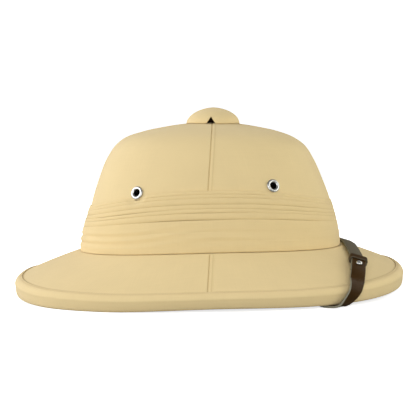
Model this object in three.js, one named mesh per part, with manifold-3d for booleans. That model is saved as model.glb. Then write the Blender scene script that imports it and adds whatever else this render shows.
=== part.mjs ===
// Pith helmet: a hollow cloth-covered crown on a sloping oval brim, with a bound lip, a pleated
// band, a vent button, four eyelets and a leather chin strap laid over the front of the brim.
// Millimetres. X runs to the front, Y to the wearer's left, Z up from the table it rests on.

import * as THREE from "three";
import { mergeVertices } from "three/addons/utils/BufferGeometryUtils.js";
import Module from "manifold-3d";

const wasm = await Module();
wasm.setup();

// Driving dimensions
const TURN_STEPS = 48;
const CENTRE_X = 3.4;
const WALL = 3;
const GAP = 0.3;
// Least cosine of half a corner, so that a sharp corner's offset stays short
const SHARPEST_CORNER = 0.6;
// Short steps over which a surface's direction is measured, in radians and millimetres
const MEASURE = { turn: 0.06, height: 4, place: 4 };

// Crown: one row for each level of its outer face, from the brim up to the vent hole.
// front, back and side are reaches from the crown's centre, tilt lifts the front over the back,
// saddle the sides over both.
const CROWN_FULLNESS = 2.15;
const CROWN_LEVELS = [
  { height: 40.2, tilt: 1.0, saddle: 2.15, front: 110.7, back: 111.3, side: 96.0 },
  { height: 58.5, tilt: -0.3, saddle: 0.3, front: 109.0, back: 109.8, side: 94.4 },
  { height: 77.3, tilt: -1.5, saddle: 0, front: 105.9, back: 106.5, side: 92.0 },
  { height: 98.9, tilt: -1.45, saddle: 0, front: 98.3, back: 99.7, side: 86.3 },
  { height: 116.9, tilt: -1.3, saddle: 0, front: 90.4, back: 92.3, side: 80.2 },
  { height: 127.7, tilt: -1.2, saddle: 0, front: 83.4, back: 85.0, side: 74.2 },
  { height: 134.9, tilt: -1.05, saddle: 0, front: 73.6, back: 75.8, side: 66.0 },
  { height: 139.9, tilt: -0.85, saddle: 0, front: 60.7, back: 61.3, side: 54.0 },
  { height: 144.1, tilt: -0.6, saddle: 0, front: 42.6, back: 41.9, side: 37.4 },
  { height: 147.1, tilt: -0.3, saddle: 0, front: 22.5, back: 21.4, side: 19.6 },
  { height: 148.0, tilt: -0.1, saddle: 0, front: 6.5, back: 7.1, side: 6.6 },
];

// Brim: the outermost line of its lip, and the wave of the lip's lower edge over the table.
const RIM_FULLNESS = 2.56;
const RIM = { front: 166.9, back: 173.7, side: 140.6 };
const RIM_WAVE = { mean: 2.46, tilt: 2.34, saddle: 1.28, third: 0.22, quarter: 1.21 };
// How far the slope hangs below a straight line at the sides, and swells over it at the ends
const BRIM_SAG = 1.2;
const BRIM_SWELL = 0.8;
const BRIM_SLOPE_STEPS = 3;
const FOOT_MARGIN = 1.4;

// Edge binding: its outer face around the lip, from the seam on top to the hem inside.
// out is measured from the outermost line, rise from the lower edge. The lip is deeper at the ends.
const BINDING = 1.2;
const EDGE = [
  { out: -6.6, rise: 13.3 },
  { out: -3.4, rise: 12.4 },
  { out: -1.0, rise: 10.6 },
  { out: 0, rise: 8.2 },
  { out: -1.2, rise: 4.6 },
  { out: -4.0, rise: 0 },
  { out: -7.4, rise: 0 },
  { out: -8.8, rise: 5.6 },
];
const EDGE_ON_LIP = 5;
const LIP_DEEPER = 0.22;

// Pleated band: height of its upper edge, which sweeps down to the ends, where the folds lie thinner
// by a share that grows from the foot to the top, or thicker where it is below zero, and one row
// for each fold from the bottom up.
// from and to are shares of the band's height, low and high how far the fold stands off the crown,
// so that each fold's upper edge lies over the foot of the next.
const BAND_TOP = { front: 78.3, back: 76.0, side: 91.6 };
const BAND_SWEEP = 2.6;
const BAND_CLEAR = 0.4;
const BAND_ROOM = 0.7;
const THINNER_FRONT = { foot: 0.35, top: 0.65 };
const THINNER_BACK = { foot: -0.35, top: 0.4 };
const FOLDS = [
  { from: 0, to: 0.21, low: 3.7, high: 4.4 },
  { from: 0.225, to: 0.34, low: 4.3, high: 4.5 },
  { from: 0.355, to: 0.53, low: 4.3, high: 4.5 },
  { from: 0.545, to: 0.645, low: 3.5, high: 3.9 },
  { from: 0.66, to: 0.71, low: 3.1, high: 3.4 },
  { from: 0.725, to: 0.78, low: 2.7, high: 3.0 },
  { from: 0.795, to: 0.88, low: 2.2, high: 2.6 },
  { from: 0.895, to: 0.945, low: 1.8, high: 2.1 },
  { from: 0.96, to: 1, low: 1.3, high: 1.6 },
];
const BAND_BACK_STEPS = 4;

// Vent button
const BUTTON = { centre: 5.6, radius: 23.7, height: 13.8, wall: 2, fullness: 1.8, steps: 6, sides: 32 };
const NOTCH = { x: 3.6, width: 8.4, height: 5.6, length: 60 };
const STEM = { radius: 5.6, below: 4, sides: 20, shift: 0.2, room: 1.7 };

// Eyelets: turn from the front in degrees, height of the centre
const EYELET = { flange: 5.6, hole: 2.9, barrel: 3.8, lip: 1.1, round: 0.5, length: 4.6, sides: 16 };
const EYELETS = [
  { name: "eyelet_front", turn: 56.8, height: 94.7 },
  { name: "eyelet_rear", turn: 129.9, height: 90.4 },
];

// Chin strap: points of its inner face on the brim, from the middle of the front outwards.
// lift is the room under it.
const STRAP = { width: 12, thick: 1.8, step: 4.5 };
const LAPPED = 2 * STRAP.thick + GAP;
const STRAP_ON_BRIM = [
  { x: 124.6, y: 0, lift: 1.0 },
  { x: 123.4, y: 25, lift: 1.3 },
  { x: 122.9, y: 45, lift: 1.6 },
  { x: 123.1, y: 61.8, lift: 1.9 },
  { x: 122.6, y: 76, lift: 2.1 },
  { x: 121.0, y: 89, lift: 1.7 },
  { x: 119.4, y: 100, lift: 1.7 },
];
// The same face around the lip: turn in degrees, out and rise as for the binding, and tip, the
// angle over the horizon that the strap's outer face looks to
const STRAP_ROUND_LIP = [
  { turn: 43.3, out: -6.6, rise: 15.8, tip: 68 },
  { turn: 45.2, out: -2.2, rise: 14.6, tip: 46 },
  { turn: 46.6, out: 0.8, rise: 12.0, tip: 24 },
  { turn: 47.9, out: 1.9, rise: 8.2, tip: -6 },
  { turn: 49.3, out: 0.5, rise: 3.2, tip: -34 },
  { turn: 50.6, out: -2.2, rise: -0.3, tip: -70 },
  { turn: 52.3, out: -8.6, rise: -0.5, tip: -89 },
];
// Under the brim towards the temple
const STRAP_UNDER_BRIM = [
  { x: 86, y: 106, height: 6 },
  { x: 64, y: 96.5, height: 20 },
];
// Inside the crown at the temple: room is left to its wall
const STRAP_AT_TEMPLE = [
  { x: 45, height: 35, room: 1.4 },
  { x: 27, height: 49, room: 2.1 },
  { x: 17, height: 57, room: 2.7 },
];
const TEMPLE_PASSES = 8;
// Corners of the strap's section: side of its middle line, and share of its thickness
const STRAP_CORNERS = [
  { side: -1, share: 0 },
  { side: 1, share: 0 },
  { side: 1, share: 1 },
  { side: -1, share: 1 },
];
const OVERLAP = { from: 74.5, to: 96, keeper: 77, stud: 88, ease: 18 };
const KEEPER = { length: 6.5, wall: 1.2, room: 0.4 };
const STUD = { radius: 2.9, dome: 1.7, shank: 1.1, sides: 16, seat: 0.3 };
const ANCHOR = { radius: 4.5, dome: 1.4, shank: 1.8, sides: 16, seat: 0.7, x: 25.5, reach: 1.1 };
const SHANK_ROOM = 0.3;
// Rounding of both heads: shares of the head's radius and of its dome
const HEAD_CURVE = [
  { reach: 0.86, height: 0.55 },
  { reach: 0.5, height: 0.9 },
];

const CLOTH = { color: 0xd9c493, roughness: 0.9, metalness: 0 };
const BAND_CLOTH = { color: 0xdcc797, roughness: 0.92, metalness: 0 };
const LEATHER = { color: 0x3a2414, roughness: 0.5, metalness: 0 };
const METAL = { color: 0xd8d8d6, roughness: 0.3, metalness: 1 };

// Small helpers
const radians = THREE.MathUtils.degToRad;
const mix = THREE.MathUtils.lerp;
const UP = new THREE.Vector3(0, 0, 1);

function ovalReach(size, fullness, turn) {
  const along = Math.abs(Math.cos(turn)) / (Math.cos(turn) >= 0 ? size.front : size.back);
  const across = Math.abs(Math.sin(turn)) / size.side;
  return (along ** fullness + across ** fullness) ** (-1 / fullness);
}

function bySide(size, turn) {
  const ends = Math.abs(Math.cos(turn)) ** BAND_SWEEP;
  return size.side * (1 - ends) + (Math.cos(turn) >= 0 ? size.front : size.back) * ends;
}

function heightToReach(profile, height) {
  let upper = profile.findIndex((point) => point.height >= height);
  upper = upper < 0 ? profile.length - 1 : Math.max(upper, 1);
  const low = profile[upper - 1];
  const high = profile[upper];
  return mix(low.reach, high.reach, (height - low.height) / (high.height - low.height));
}

// Moves a profile sideways, to the left of its direction.
function offsetProfile(profile, distance) {
  return profile.map((point, i) => {
    const before = profile[Math.max(i - 1, 0)];
    const after = profile[Math.min(i + 1, profile.length - 1)];
    const inward = new THREE.Vector2(point.reach - before.reach, point.height - before.height);
    const onward = new THREE.Vector2(after.reach - point.reach, after.height - point.height);
    const first = i === 0 ? onward.clone() : inward.clone();
    const second = i === profile.length - 1 ? inward.clone() : onward.clone();
    const bisector = first.normalize().clone().add(second.normalize()).normalize();
    const stretch = distance / Math.max(bisector.dot(first), SHARPEST_CORNER);
    return { reach: point.reach - bisector.y * stretch, height: point.height + bisector.x * stretch };
  });
}

// Solids
function closedGeometry(positions, triangles) {
  const geometry = new THREE.BufferGeometry();
  geometry.setAttribute("position", new THREE.Float32BufferAttribute(positions, 3));
  geometry.setIndex(triangles);
  return geometry;
}

// A ring whose closed section, counter-clockwise in reach and height, changes around the hat
function ringSolid(sectionAt) {
  const positions = [];
  const triangles = [];
  let count = 0;
  for (let step = 0; step < TURN_STEPS; step++) {
    const turn = (2 * Math.PI * step) / TURN_STEPS;
    const section = sectionAt(turn);
    count = section.length;
    for (const { reach, height } of section) {
      positions.push(CENTRE_X + reach * Math.cos(turn), reach * Math.sin(turn), height);
    }
  }
  for (let step = 0; step < TURN_STEPS; step++) {
    const here = step * count;
    const next = ((step + 1) % TURN_STEPS) * count;
    for (let i = 0; i < count; i++) {
      const above = (i + 1) % count;
      triangles.push(here + i, next + i, next + above);
      triangles.push(here + i, next + above, here + above);
    }
  }
  return closedGeometry(positions, triangles);
}

function toManifold(geometry) {
  const bare = geometry.clone();
  bare.deleteAttribute("normal");
  bare.deleteAttribute("uv");
  const merged = mergeVertices(bare);
  const corners = merged.getIndex().array;
  const kept = [];
  for (let i = 0; i < corners.length; i += 3) {
    const [a, b, c] = [corners[i], corners[i + 1], corners[i + 2]];
    if (a !== b && b !== c && c !== a) {
      kept.push(a, b, c);
    }
  }
  const vertProperties = new Float32Array(merged.getAttribute("position").array);
  const triVerts = new Uint32Array(kept);
  return new wasm.Manifold(new wasm.Mesh({ numProp: 3, vertProperties, triVerts }));
}

function toGeometry(solid) {
  const mesh = solid.getMesh();
  return closedGeometry(Array.from(mesh.vertProperties), Array.from(mesh.triVerts));
}

function cut(geometry, tools) {
  return toGeometry(tools.reduce((solid, tool) => solid.subtract(toManifold(tool)), toManifold(geometry)));
}

// A turned piece about an axis through a place, its profile in reach and height along that axis
function turned(profile, sides, place, axis) {
  const points = profile.map(({ reach, height }) => new THREE.Vector2(reach, height));
  const geometry = new THREE.LatheGeometry(points, sides);
  const facing = new THREE.Quaternion().setFromUnitVectors(new THREE.Vector3(0, 1, 0), axis);
  return geometry.applyQuaternion(facing).translate(place.x, place.y, place.z);
}

function pin(radius, from, to, sides, place, axis) {
  const profile = [
    { reach: 0, height: from },
    { reach: radius, height: from },
    { reach: radius, height: to },
    { reach: 0, height: to },
  ];
  return turned(profile, sides, place, axis);
}

// The right side's copy of a left side's piece
function mirrored(geometry) {
  const copy = mergeVertices(geometry.clone().deleteAttribute("normal").deleteAttribute("uv"));
  copy.scale(1, -1, 1);
  copy.getIndex().array.reverse();
  return copy;
}

const onBothSides = (geometry) => [geometry, mirrored(geometry)];

// Crown
function crownProfile(turn) {
  return CROWN_LEVELS.map((level) => ({
    reach: ovalReach(level, CROWN_FULLNESS, turn),
    height: level.height + level.tilt * Math.cos(turn) - level.saddle * Math.cos(2 * turn),
  }));
}

function crownInside(turn) {
  return offsetProfile(crownProfile(turn), WALL);
}

function crownSection(turn) {
  const outside = crownProfile(turn);
  const inside = crownInside(turn);
  inside[0] = { reach: inside[0].reach, height: outside[0].height };
  const spared = inside.filter((_, i) => i % 2 === 0);
  return [...outside, ...spared.reverse()];
}

function crownPoint(turn, height) {
  const reach = heightToReach(crownProfile(turn), height);
  return new THREE.Vector3(CENTRE_X + reach * Math.cos(turn), reach * Math.sin(turn), height);
}

function crownHeight(x, y) {
  const reach = Math.hypot(x - CENTRE_X, y);
  const profile = crownProfile(Math.atan2(y, x - CENTRE_X));
  const inner = profile.findIndex((point) => point.reach <= reach);
  const [a, b] = [profile[inner - 1], profile[inner]];
  return mix(a.height, b.height, (reach - a.reach) / (b.reach - a.reach));
}

function crownNormal(turn, height) {
  const around = crownPoint(turn + MEASURE.turn, height).sub(crownPoint(turn - MEASURE.turn, height));
  const up = crownPoint(turn, height + MEASURE.height).sub(crownPoint(turn, height - MEASURE.height));
  return around.cross(up).normalize();
}

// Brim and its lip
const rimReach = (turn) => ovalReach(RIM, RIM_FULLNESS, turn);

function rimBase(turn) {
  const slow = RIM_WAVE.tilt * Math.cos(turn) + RIM_WAVE.saddle * Math.cos(2 * turn);
  const quick = RIM_WAVE.third * Math.cos(3 * turn) + RIM_WAVE.quarter * Math.cos(4 * turn);
  return Math.max(0, RIM_WAVE.mean + slow + quick);
}

function edgeProfile(turn) {
  const depth = 1 + LIP_DEEPER * Math.cos(turn) ** 2;
  return EDGE.map(({ out, rise }) => ({ reach: rimReach(turn) + out, height: rimBase(turn) + depth * rise }));
}

// Profiles that run outwards along the top have their inside on the right, so the offset is negative.
function brimTop(turn) {
  const foot = crownProfile(turn)[0];
  const lip = offsetProfile(edgeProfile(turn), -(BINDING + GAP)).slice(0, EDGE_ON_LIP);
  const start = { reach: foot.reach + FOLDS[0].high + FOOT_MARGIN, height: foot.height - GAP };
  const slope = [];
  for (let step = 1; step < BRIM_SLOPE_STEPS; step++) {
    const share = step / BRIM_SLOPE_STEPS;
    const sag = BRIM_SAG * Math.sin(turn) ** 2 - BRIM_SWELL * Math.cos(turn) ** 2;
    const height = mix(start.height, lip[0].height, share) - 4 * sag * share * (1 - share);
    slope.push({ reach: mix(start.reach, lip[0].reach, share), height });
  }
  const flange = { reach: crownInside(turn)[0].reach, height: start.height };
  return [flange, start, ...slope, ...lip];
}

function brimSection(turn) {
  const top = brimTop(turn);
  const under = offsetProfile(top, -WALL);
  under[0].reach = top[0].reach;
  return [...under, ...top.reverse()];
}

function bindingSection(turn) {
  const outside = edgeProfile(turn);
  const inside = offsetProfile(outside, -BINDING);
  return [...inside, ...outside.reverse()];
}

// Height of the brim's cloth under a place on its slope
function brimPoint(x, y) {
  const turn = Math.atan2(y, x - CENTRE_X);
  const reach = Math.hypot(x - CENTRE_X, y);
  const top = brimTop(turn);
  let outer = top.findIndex((point) => point.reach >= reach);
  outer = Math.max(outer, 1);
  const [a, b] = [top[outer - 1], top[outer]];
  return new THREE.Vector3(x, y, mix(a.height, b.height, (reach - a.reach) / (b.reach - a.reach)));
}

function brimNormal(x, y) {
  const along = brimPoint(x + MEASURE.place, y).sub(brimPoint(x - MEASURE.place, y));
  const across = brimPoint(x, y + MEASURE.place).sub(brimPoint(x, y - MEASURE.place));
  return along.cross(across).normalize();
}

// Pleated band
function bandSection(turn) {
  const crown = crownProfile(turn);
  const foot = crown[0].height + BAND_CLEAR;
  const top = bySide(BAND_TOP, turn);
  const thinner = Math.cos(turn) >= 0 ? THINNER_FRONT : THINNER_BACK;
  const place = (share, proud) => {
    const height = mix(foot, top, share);
    const kept = 1 - Math.cos(turn) ** 4 * mix(thinner.foot, thinner.top, share);
    return { reach: heightToReach(crown, height) + BAND_ROOM + proud * kept, height };
  };
  const outside = FOLDS.flatMap((fold) => [place(fold.from, fold.low), place(fold.to, fold.high)]);
  const inside = [];
  for (let step = BAND_BACK_STEPS; step >= 0; step--) {
    inside.push(place(step / BAND_BACK_STEPS, 0));
  }
  return [...outside, ...inside];
}

// Vent button
function buttonDome(radius, height) {
  const dome = [];
  for (let step = 0; step <= BUTTON.steps; step++) {
    const angle = (Math.PI / 2) * (step / BUTTON.steps);
    const bend = 2 / BUTTON.fullness;
    const reach = step === BUTTON.steps ? 0 : radius * Math.cos(angle) ** bend;
    dome.push({ reach, height: height * Math.sin(angle) ** bend });
  }
  return dome;
}

function buttonSeat() {
  const skirt = BUTTON.radius - BUTTON.wall;
  const around = Array.from({ length: BUTTON.sides }, (_, i) => (2 * Math.PI * i) / BUTTON.sides);
  const under = around.map((a) => crownHeight(BUTTON.centre + skirt * Math.cos(a), skirt * Math.sin(a)));
  return new THREE.Vector3(BUTTON.centre, 0, Math.max(...under) + GAP);
}

function ventButton() {
  const outside = buttonDome(BUTTON.radius, BUTTON.height);
  const inside = buttonDome(BUTTON.radius - BUTTON.wall, BUTTON.height - BUTTON.wall);
  const profile = [...inside.reverse(), ...outside];
  const place = buttonSeat();
  const cap = turned(profile, BUTTON.sides, place, UP);
  const outline = new THREE.Shape([
    new THREE.Vector2(-NOTCH.width / 2, -NOTCH.height),
    new THREE.Vector2(NOTCH.width / 2, -NOTCH.height),
    new THREE.Vector2(NOTCH.width / 2, 0),
    new THREE.Vector2(0, NOTCH.height),
    new THREE.Vector2(-NOTCH.width / 2, 0),
  ]);
  const notch = new THREE.ExtrudeGeometry(outline, { depth: NOTCH.length, bevelEnabled: false });
  notch.translate(0, 0, -NOTCH.length / 2).rotateX(Math.PI / 2).translate(NOTCH.x, place.y, place.z);
  return cut(cap, [notch]);
}

// Hidden post in the vent hole that carries the button
function ventStem() {
  const top = buttonSeat().z + BUTTON.height - BUTTON.wall - STEM.room;
  const foot = CROWN_LEVELS.at(-1).height - STEM.below;
  return pin(STEM.radius, foot, top, STEM.sides, new THREE.Vector3(CENTRE_X + STEM.shift, 0, 0), UP);
}

// Eyelets
function eyeletSeat(eyelet) {
  const turn = radians(eyelet.turn);
  const axis = crownNormal(turn, eyelet.height);
  const place = crownPoint(turn, eyelet.height).addScaledVector(axis, GAP);
  return { place, axis };
}

function eyeletSolid(eyelet) {
  const { place, axis } = eyeletSeat(eyelet);
  const profile = [
    { reach: EYELET.hole, height: -EYELET.length },
    { reach: EYELET.barrel, height: -EYELET.length },
    { reach: EYELET.barrel, height: 0 },
    { reach: EYELET.flange, height: 0 },
    { reach: EYELET.flange - EYELET.round / 2, height: EYELET.lip - EYELET.round },
    { reach: (EYELET.flange + EYELET.hole) / 2, height: EYELET.lip },
    { reach: EYELET.hole + EYELET.round, height: EYELET.lip - EYELET.round },
    { reach: EYELET.hole, height: -EYELET.round },
    { reach: EYELET.hole, height: -EYELET.length },
  ];
  return turned(profile, EYELET.sides, place, axis);
}

function eyeletHoles(radius) {
  return EYELETS.flatMap((eyelet) => {
    const { place, axis } = eyeletSeat(eyelet);
    const reach = 2 * EYELET.length;
    return onBothSides(pin(radius + GAP, -reach, reach, EYELET.sides, place, axis));
  });
}

// Chin strap: the inner face's route on the left side, as places and outward directions
function templePoint({ x, height, room }) {
  const reach = (turn) => heightToReach(crownInside(turn), Math.max(height, CROWN_LEVELS[0].height));
  let turn = Math.PI / 2;
  for (let pass = 0; pass < TEMPLE_PASSES; pass++) {
    turn = Math.acos((x - CENTRE_X) / reach(turn));
  }
  const out = reach(turn) - room;
  const place = new THREE.Vector3(x, out * Math.sin(turn), height);
  return { place, away: new THREE.Vector3(-Math.cos(turn), -Math.sin(turn), 0) };
}

function strapRoute() {
  const route = STRAP_ON_BRIM.map(({ x, y, lift }) => {
    const away = brimNormal(x, y);
    return { place: brimPoint(x, y).addScaledVector(away, lift), away };
  });
  STRAP_ROUND_LIP.forEach(({ turn, out, rise, tip }) => {
    const angle = radians(turn);
    const reach = rimReach(angle) + out;
    const place = new THREE.Vector3(
      CENTRE_X + reach * Math.cos(angle),
      reach * Math.sin(angle),
      rimBase(angle) + rise,
    );
    const away = new THREE.Vector3(Math.cos(angle), Math.sin(angle), Math.tan(radians(tip)));
    route.push({ place, away: away.normalize() });
  });
  const temple = STRAP_AT_TEMPLE.map(templePoint);
  const down = new THREE.Vector3(0, 0, -1);
  STRAP_UNDER_BRIM.forEach(({ x, y, height }, i) => {
    const share = (i + 1) / (STRAP_UNDER_BRIM.length + 1);
    const away = down.clone().lerp(temple[0].away, share).normalize();
    route.push({ place: new THREE.Vector3(x, y, height), away });
  });
  return [...route, ...temple];
}

const ROUTE = strapRoute();
const ROUTE_CURVE = new THREE.CatmullRomCurve3(ROUTE.map(({ place }) => place));
const AWAY_CURVE = new THREE.CatmullRomCurve3(ROUTE.map(({ away }) => away));
const ROUTE_LENGTH = ROUTE_CURVE.getLength();

// Place and axes of the strap's inner face at a distance from the middle of the front
function strapFrame(distance) {
  const share = Math.min(Math.max(distance / ROUTE_LENGTH, 0), 1);
  const at = ROUTE_CURVE.getUtoTmapping(share);
  const place = ROUTE_CURVE.getPoint(at);
  const ahead = ROUTE_CURVE.getTangent(at);
  const guide = AWAY_CURVE.getPoint(at);
  const away = guide.addScaledVector(ahead, -guide.dot(ahead)).normalize();
  const across = new THREE.Vector3().crossVectors(away, ahead);
  return { place, ahead, away, across };
}

function lapLift(distance) {
  const share = (OVERLAP.to + OVERLAP.ease - distance) / OVERLAP.ease;
  return THREE.MathUtils.smoothstep(share, 0, 1) * (STRAP.thick + GAP);
}

// A flat strip along the route; lift raises it off the inner face, and the table flattens it.
function strapStrip(frames, lift) {
  const positions = [];
  const triangles = [];
  const count = STRAP_CORNERS.length;
  frames.forEach((frame, i) => {
    for (const { side, share } of STRAP_CORNERS) {
      const corner = frame.place.clone().addScaledVector(frame.across, (side * STRAP.width) / 2);
      corner.addScaledVector(frame.away, lift(i) + share * STRAP.thick);
      positions.push(corner.x, corner.y, Math.max(corner.z, (1 - share) * STRAP.thick));
    }
    if (i > 0) {
      const [here, last] = [count * i, count * (i - 1)];
      for (let edge = 0; edge < count; edge++) {
        const next = (edge + 1) % count;
        triangles.push(last + edge, last + next, here + next);
        triangles.push(last + edge, here + next, here + edge);
      }
    }
  });
  const end = count * (frames.length - 1);
  triangles.push(0, 2, 1, 0, 3, 2);
  triangles.push(end, end + 1, end + 2, end, end + 2, end + 3);
  return closedGeometry(positions, triangles);
}

// The front strap's right half, walked towards the middle
function frontFrame(distance) {
  const frame = strapFrame(Math.abs(distance));
  if (distance < 0) {
    const flip = new THREE.Vector3(1, -1, 1);
    frame.place.multiply(flip);
    frame.away.multiply(flip);
    frame.across.multiply(flip);
  }
  return frame;
}

function stations(from, to) {
  const count = Math.ceil((to - from) / STRAP.step);
  return Array.from({ length: count + 1 }, (_, i) => mix(from, to, i / count));
}

function studHole(distance, radius) {
  const { place, away } = strapFrame(distance);
  return pin(radius + SHANK_ROOM, -STRAP.thick, LAPPED + STRAP.thick, STUD.sides, place, away);
}

function frontStrap() {
  const frames = stations(-OVERLAP.to, OVERLAP.to).map(frontFrame);
  return cut(strapStrip(frames, () => 0), onBothSides(studHole(OVERLAP.stud, STUD.shank)));
}

const ANCHOR_DISTANCE = distanceToX(ANCHOR.x);

function distanceToX(x) {
  let distance = ROUTE_LENGTH;
  while (strapFrame(distance).place.x < x) {
    distance -= GAP;
  }
  return distance;
}

function sideStrap() {
  const along = stations(OVERLAP.from, ROUTE_LENGTH);
  const strip = strapStrip(along.map(strapFrame), (i) => lapLift(along[i]));
  return cut(strip, [studHole(OVERLAP.stud, STUD.shank), studHole(ANCHOR_DISTANCE, ANCHOR.shank)]);
}

function keeperSolid() {
  const { place, ahead, away, across } = strapFrame(OVERLAP.keeper);
  const top = LAPPED + GAP + KEEPER.room;
  const inner = { width: STRAP.width + 2 * KEEPER.room, from: -GAP, to: top };
  const frameShape = (grow) => [
    new THREE.Vector2(-inner.width / 2 - grow, inner.from - grow),
    new THREE.Vector2(inner.width / 2 + grow, inner.from - grow),
    new THREE.Vector2(inner.width / 2 + grow, inner.to + grow),
    new THREE.Vector2(-inner.width / 2 - grow, inner.to + grow),
  ];
  const outline = new THREE.Shape(frameShape(KEEPER.wall));
  outline.holes.push(new THREE.Path(frameShape(0)));
  const loop = new THREE.ExtrudeGeometry(outline, { depth: KEEPER.length, bevelEnabled: false });
  loop.translate(0, 0, -KEEPER.length / 2);
  return loop.applyMatrix4(new THREE.Matrix4().makeBasis(across, away, ahead).setPosition(place));
}

// A domed head on the strap with a shank through it
function studSolid(size, distance, top, foot) {
  const { place, away } = strapFrame(distance);
  const seat = top + size.seat;
  const profile = [
    { reach: 0, height: foot },
    { reach: size.shank, height: foot },
    { reach: size.shank, height: seat },
    { reach: size.radius, height: seat },
    ...HEAD_CURVE.map(({ reach, height }) => ({
      reach: size.radius * reach,
      height: seat + size.dome * height,
    })),
    { reach: 0, height: seat + size.dome },
  ];
  return turned(profile, size.sides, place, away);
}

// Assembly
const helmet = new THREE.Group();

function addPiece(name, geometry, finish) {
  const piece = new THREE.Mesh(geometry, new THREE.MeshStandardMaterial(finish));
  piece.name = name;
  helmet.add(piece);
}

function addPair(name, geometry, finish) {
  addPiece(`${name}_left`, geometry, finish);
  addPiece(`${name}_right`, mirrored(geometry), finish);
}

addPiece("crown", cut(ringSolid(crownSection), eyeletHoles(EYELET.barrel)), CLOTH);
addPiece("brim", ringSolid(brimSection), CLOTH);
addPiece("edge_binding", ringSolid(bindingSection), CLOTH);
addPiece("pugaree", cut(ringSolid(bandSection), eyeletHoles(EYELET.flange)), BAND_CLOTH);
addPiece("vent_button", ventButton(), CLOTH);
addPiece("vent_stem", ventStem(), METAL);
for (const eyelet of EYELETS) {
  addPair(eyelet.name, eyeletSolid(eyelet), METAL);
}
addPiece("strap_front", frontStrap(), LEATHER);
addPair("strap", sideStrap(), LEATHER);
addPair("keeper", keeperSolid(), LEATHER);
addPair("stud", studSolid(STUD, OVERLAP.stud, LAPPED, 0), METAL);
addPair("anchor", studSolid(ANCHOR, ANCHOR_DISTANCE, STRAP.thick, -ANCHOR.reach), METAL);

export default helmet;
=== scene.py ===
import math
from typing import NamedTuple

import bmesh
import bpy
import numpy as np
from mathutils import Matrix, Vector


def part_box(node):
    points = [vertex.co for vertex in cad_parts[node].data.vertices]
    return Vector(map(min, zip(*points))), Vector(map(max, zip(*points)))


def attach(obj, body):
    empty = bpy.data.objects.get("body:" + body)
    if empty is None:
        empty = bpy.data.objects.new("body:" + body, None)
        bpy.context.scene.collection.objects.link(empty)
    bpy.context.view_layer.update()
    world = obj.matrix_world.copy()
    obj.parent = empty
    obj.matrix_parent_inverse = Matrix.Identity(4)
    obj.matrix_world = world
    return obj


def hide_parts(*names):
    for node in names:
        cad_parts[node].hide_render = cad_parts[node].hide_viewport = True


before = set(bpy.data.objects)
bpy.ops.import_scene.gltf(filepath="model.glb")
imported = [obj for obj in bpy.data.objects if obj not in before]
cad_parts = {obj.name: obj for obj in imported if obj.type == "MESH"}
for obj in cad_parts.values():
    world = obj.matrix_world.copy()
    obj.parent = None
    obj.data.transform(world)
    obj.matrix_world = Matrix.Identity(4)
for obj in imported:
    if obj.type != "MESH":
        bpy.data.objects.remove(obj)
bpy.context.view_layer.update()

bl_info = {
    "name": "Pith Helmet",
    "version": (1, 0, 0),
    "blender": (4, 5, 0),
    "location": "3D View > Sidebar > Helmet",
    "description": "Builds a cloth-covered sun helmet with a pleated band and a leather chin strap",
    "category": "Add Mesh",
}

# Tables are in millimetres. X runs to the front, Y to the wearer's left, Z up from the table.
MM = 0.001
BODY = "root"
FULL_TURN = 2 * math.pi
MIRROR = (1, -1, 1)
CENTRE_X = 3.4
WALL = 3.0
# Pieces that lie on each other are kept this far apart.
GAP = 0.3
# The smallest cosine that a profile's corner is mitred with.
SHARPEST_CORNER = 0.6


class CrownLevel(NamedTuple):
    """Outer face of the crown at one level.

    tilt lifts its front over its back, saddle its sides over both.
    """

    height: float
    tilt: float
    saddle: float
    front: float
    back: float
    side: float


# The crown's rows are spaced by its height and its reach to the front.
CROWN_MEASURE = [0, 3]
CROWN_FULLNESS = 2.15
CROWN_LEVELS = (
    CrownLevel(40.2, 1.0, 2.15, 110.7, 111.3, 96.0),
    CrownLevel(58.5, -0.3, 0.3, 109.0, 109.8, 94.4),
    CrownLevel(77.3, -1.5, 0, 105.9, 106.5, 92.0),
    CrownLevel(98.9, -1.45, 0, 98.3, 99.7, 86.3),
    CrownLevel(116.9, -1.3, 0, 90.4, 92.3, 80.2),
    CrownLevel(127.7, -1.2, 0, 83.4, 85.0, 74.2),
    CrownLevel(134.9, -1.05, 0, 73.6, 75.8, 66.0),
    CrownLevel(139.9, -0.85, 0, 60.7, 61.3, 54.0),
    CrownLevel(144.1, -0.6, 0, 42.6, 41.9, 37.4),
    CrownLevel(147.1, -0.3, 0, 22.5, 21.4, 19.6),
    CrownLevel(148.0, -0.1, 0, 6.5, 7.1, 6.6),
)


class SeamPlace(NamedTuple):
    """Where the side seam runs: x at a height of the crown, or at a reach of the brim."""

    at: float
    x: float


CROWN_SEAM = (SeamPlace(41.0, 1.1), SeamPlace(92.0, 0.4), SeamPlace(150.0, 5.1))
BRIM_SEAM = (SeamPlace(100.0, 1.1), SeamPlace(140.0, -1.5))
CROWN_SEAM_TURNS = (0.0, 90.0, 180.0, 270.0)
BRIM_SEAM_TURNS = (90.0, 270.0)

RIM_FULLNESS = 2.56
RIM = {"front": 166.9, "back": 173.7, "side": 140.6}
RIM_WAVE = (2.46, 2.34, 1.28, 0.22, 1.21)
BRIM_SAG = 1.2
BRIM_SWELL = 0.8
FOOT_MARGIN = 1.4


class EdgePoint(NamedTuple):
    """Outer face of the binding: out from the rim's outermost line, rise from its lower edge."""

    out: float
    rise: float


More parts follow.
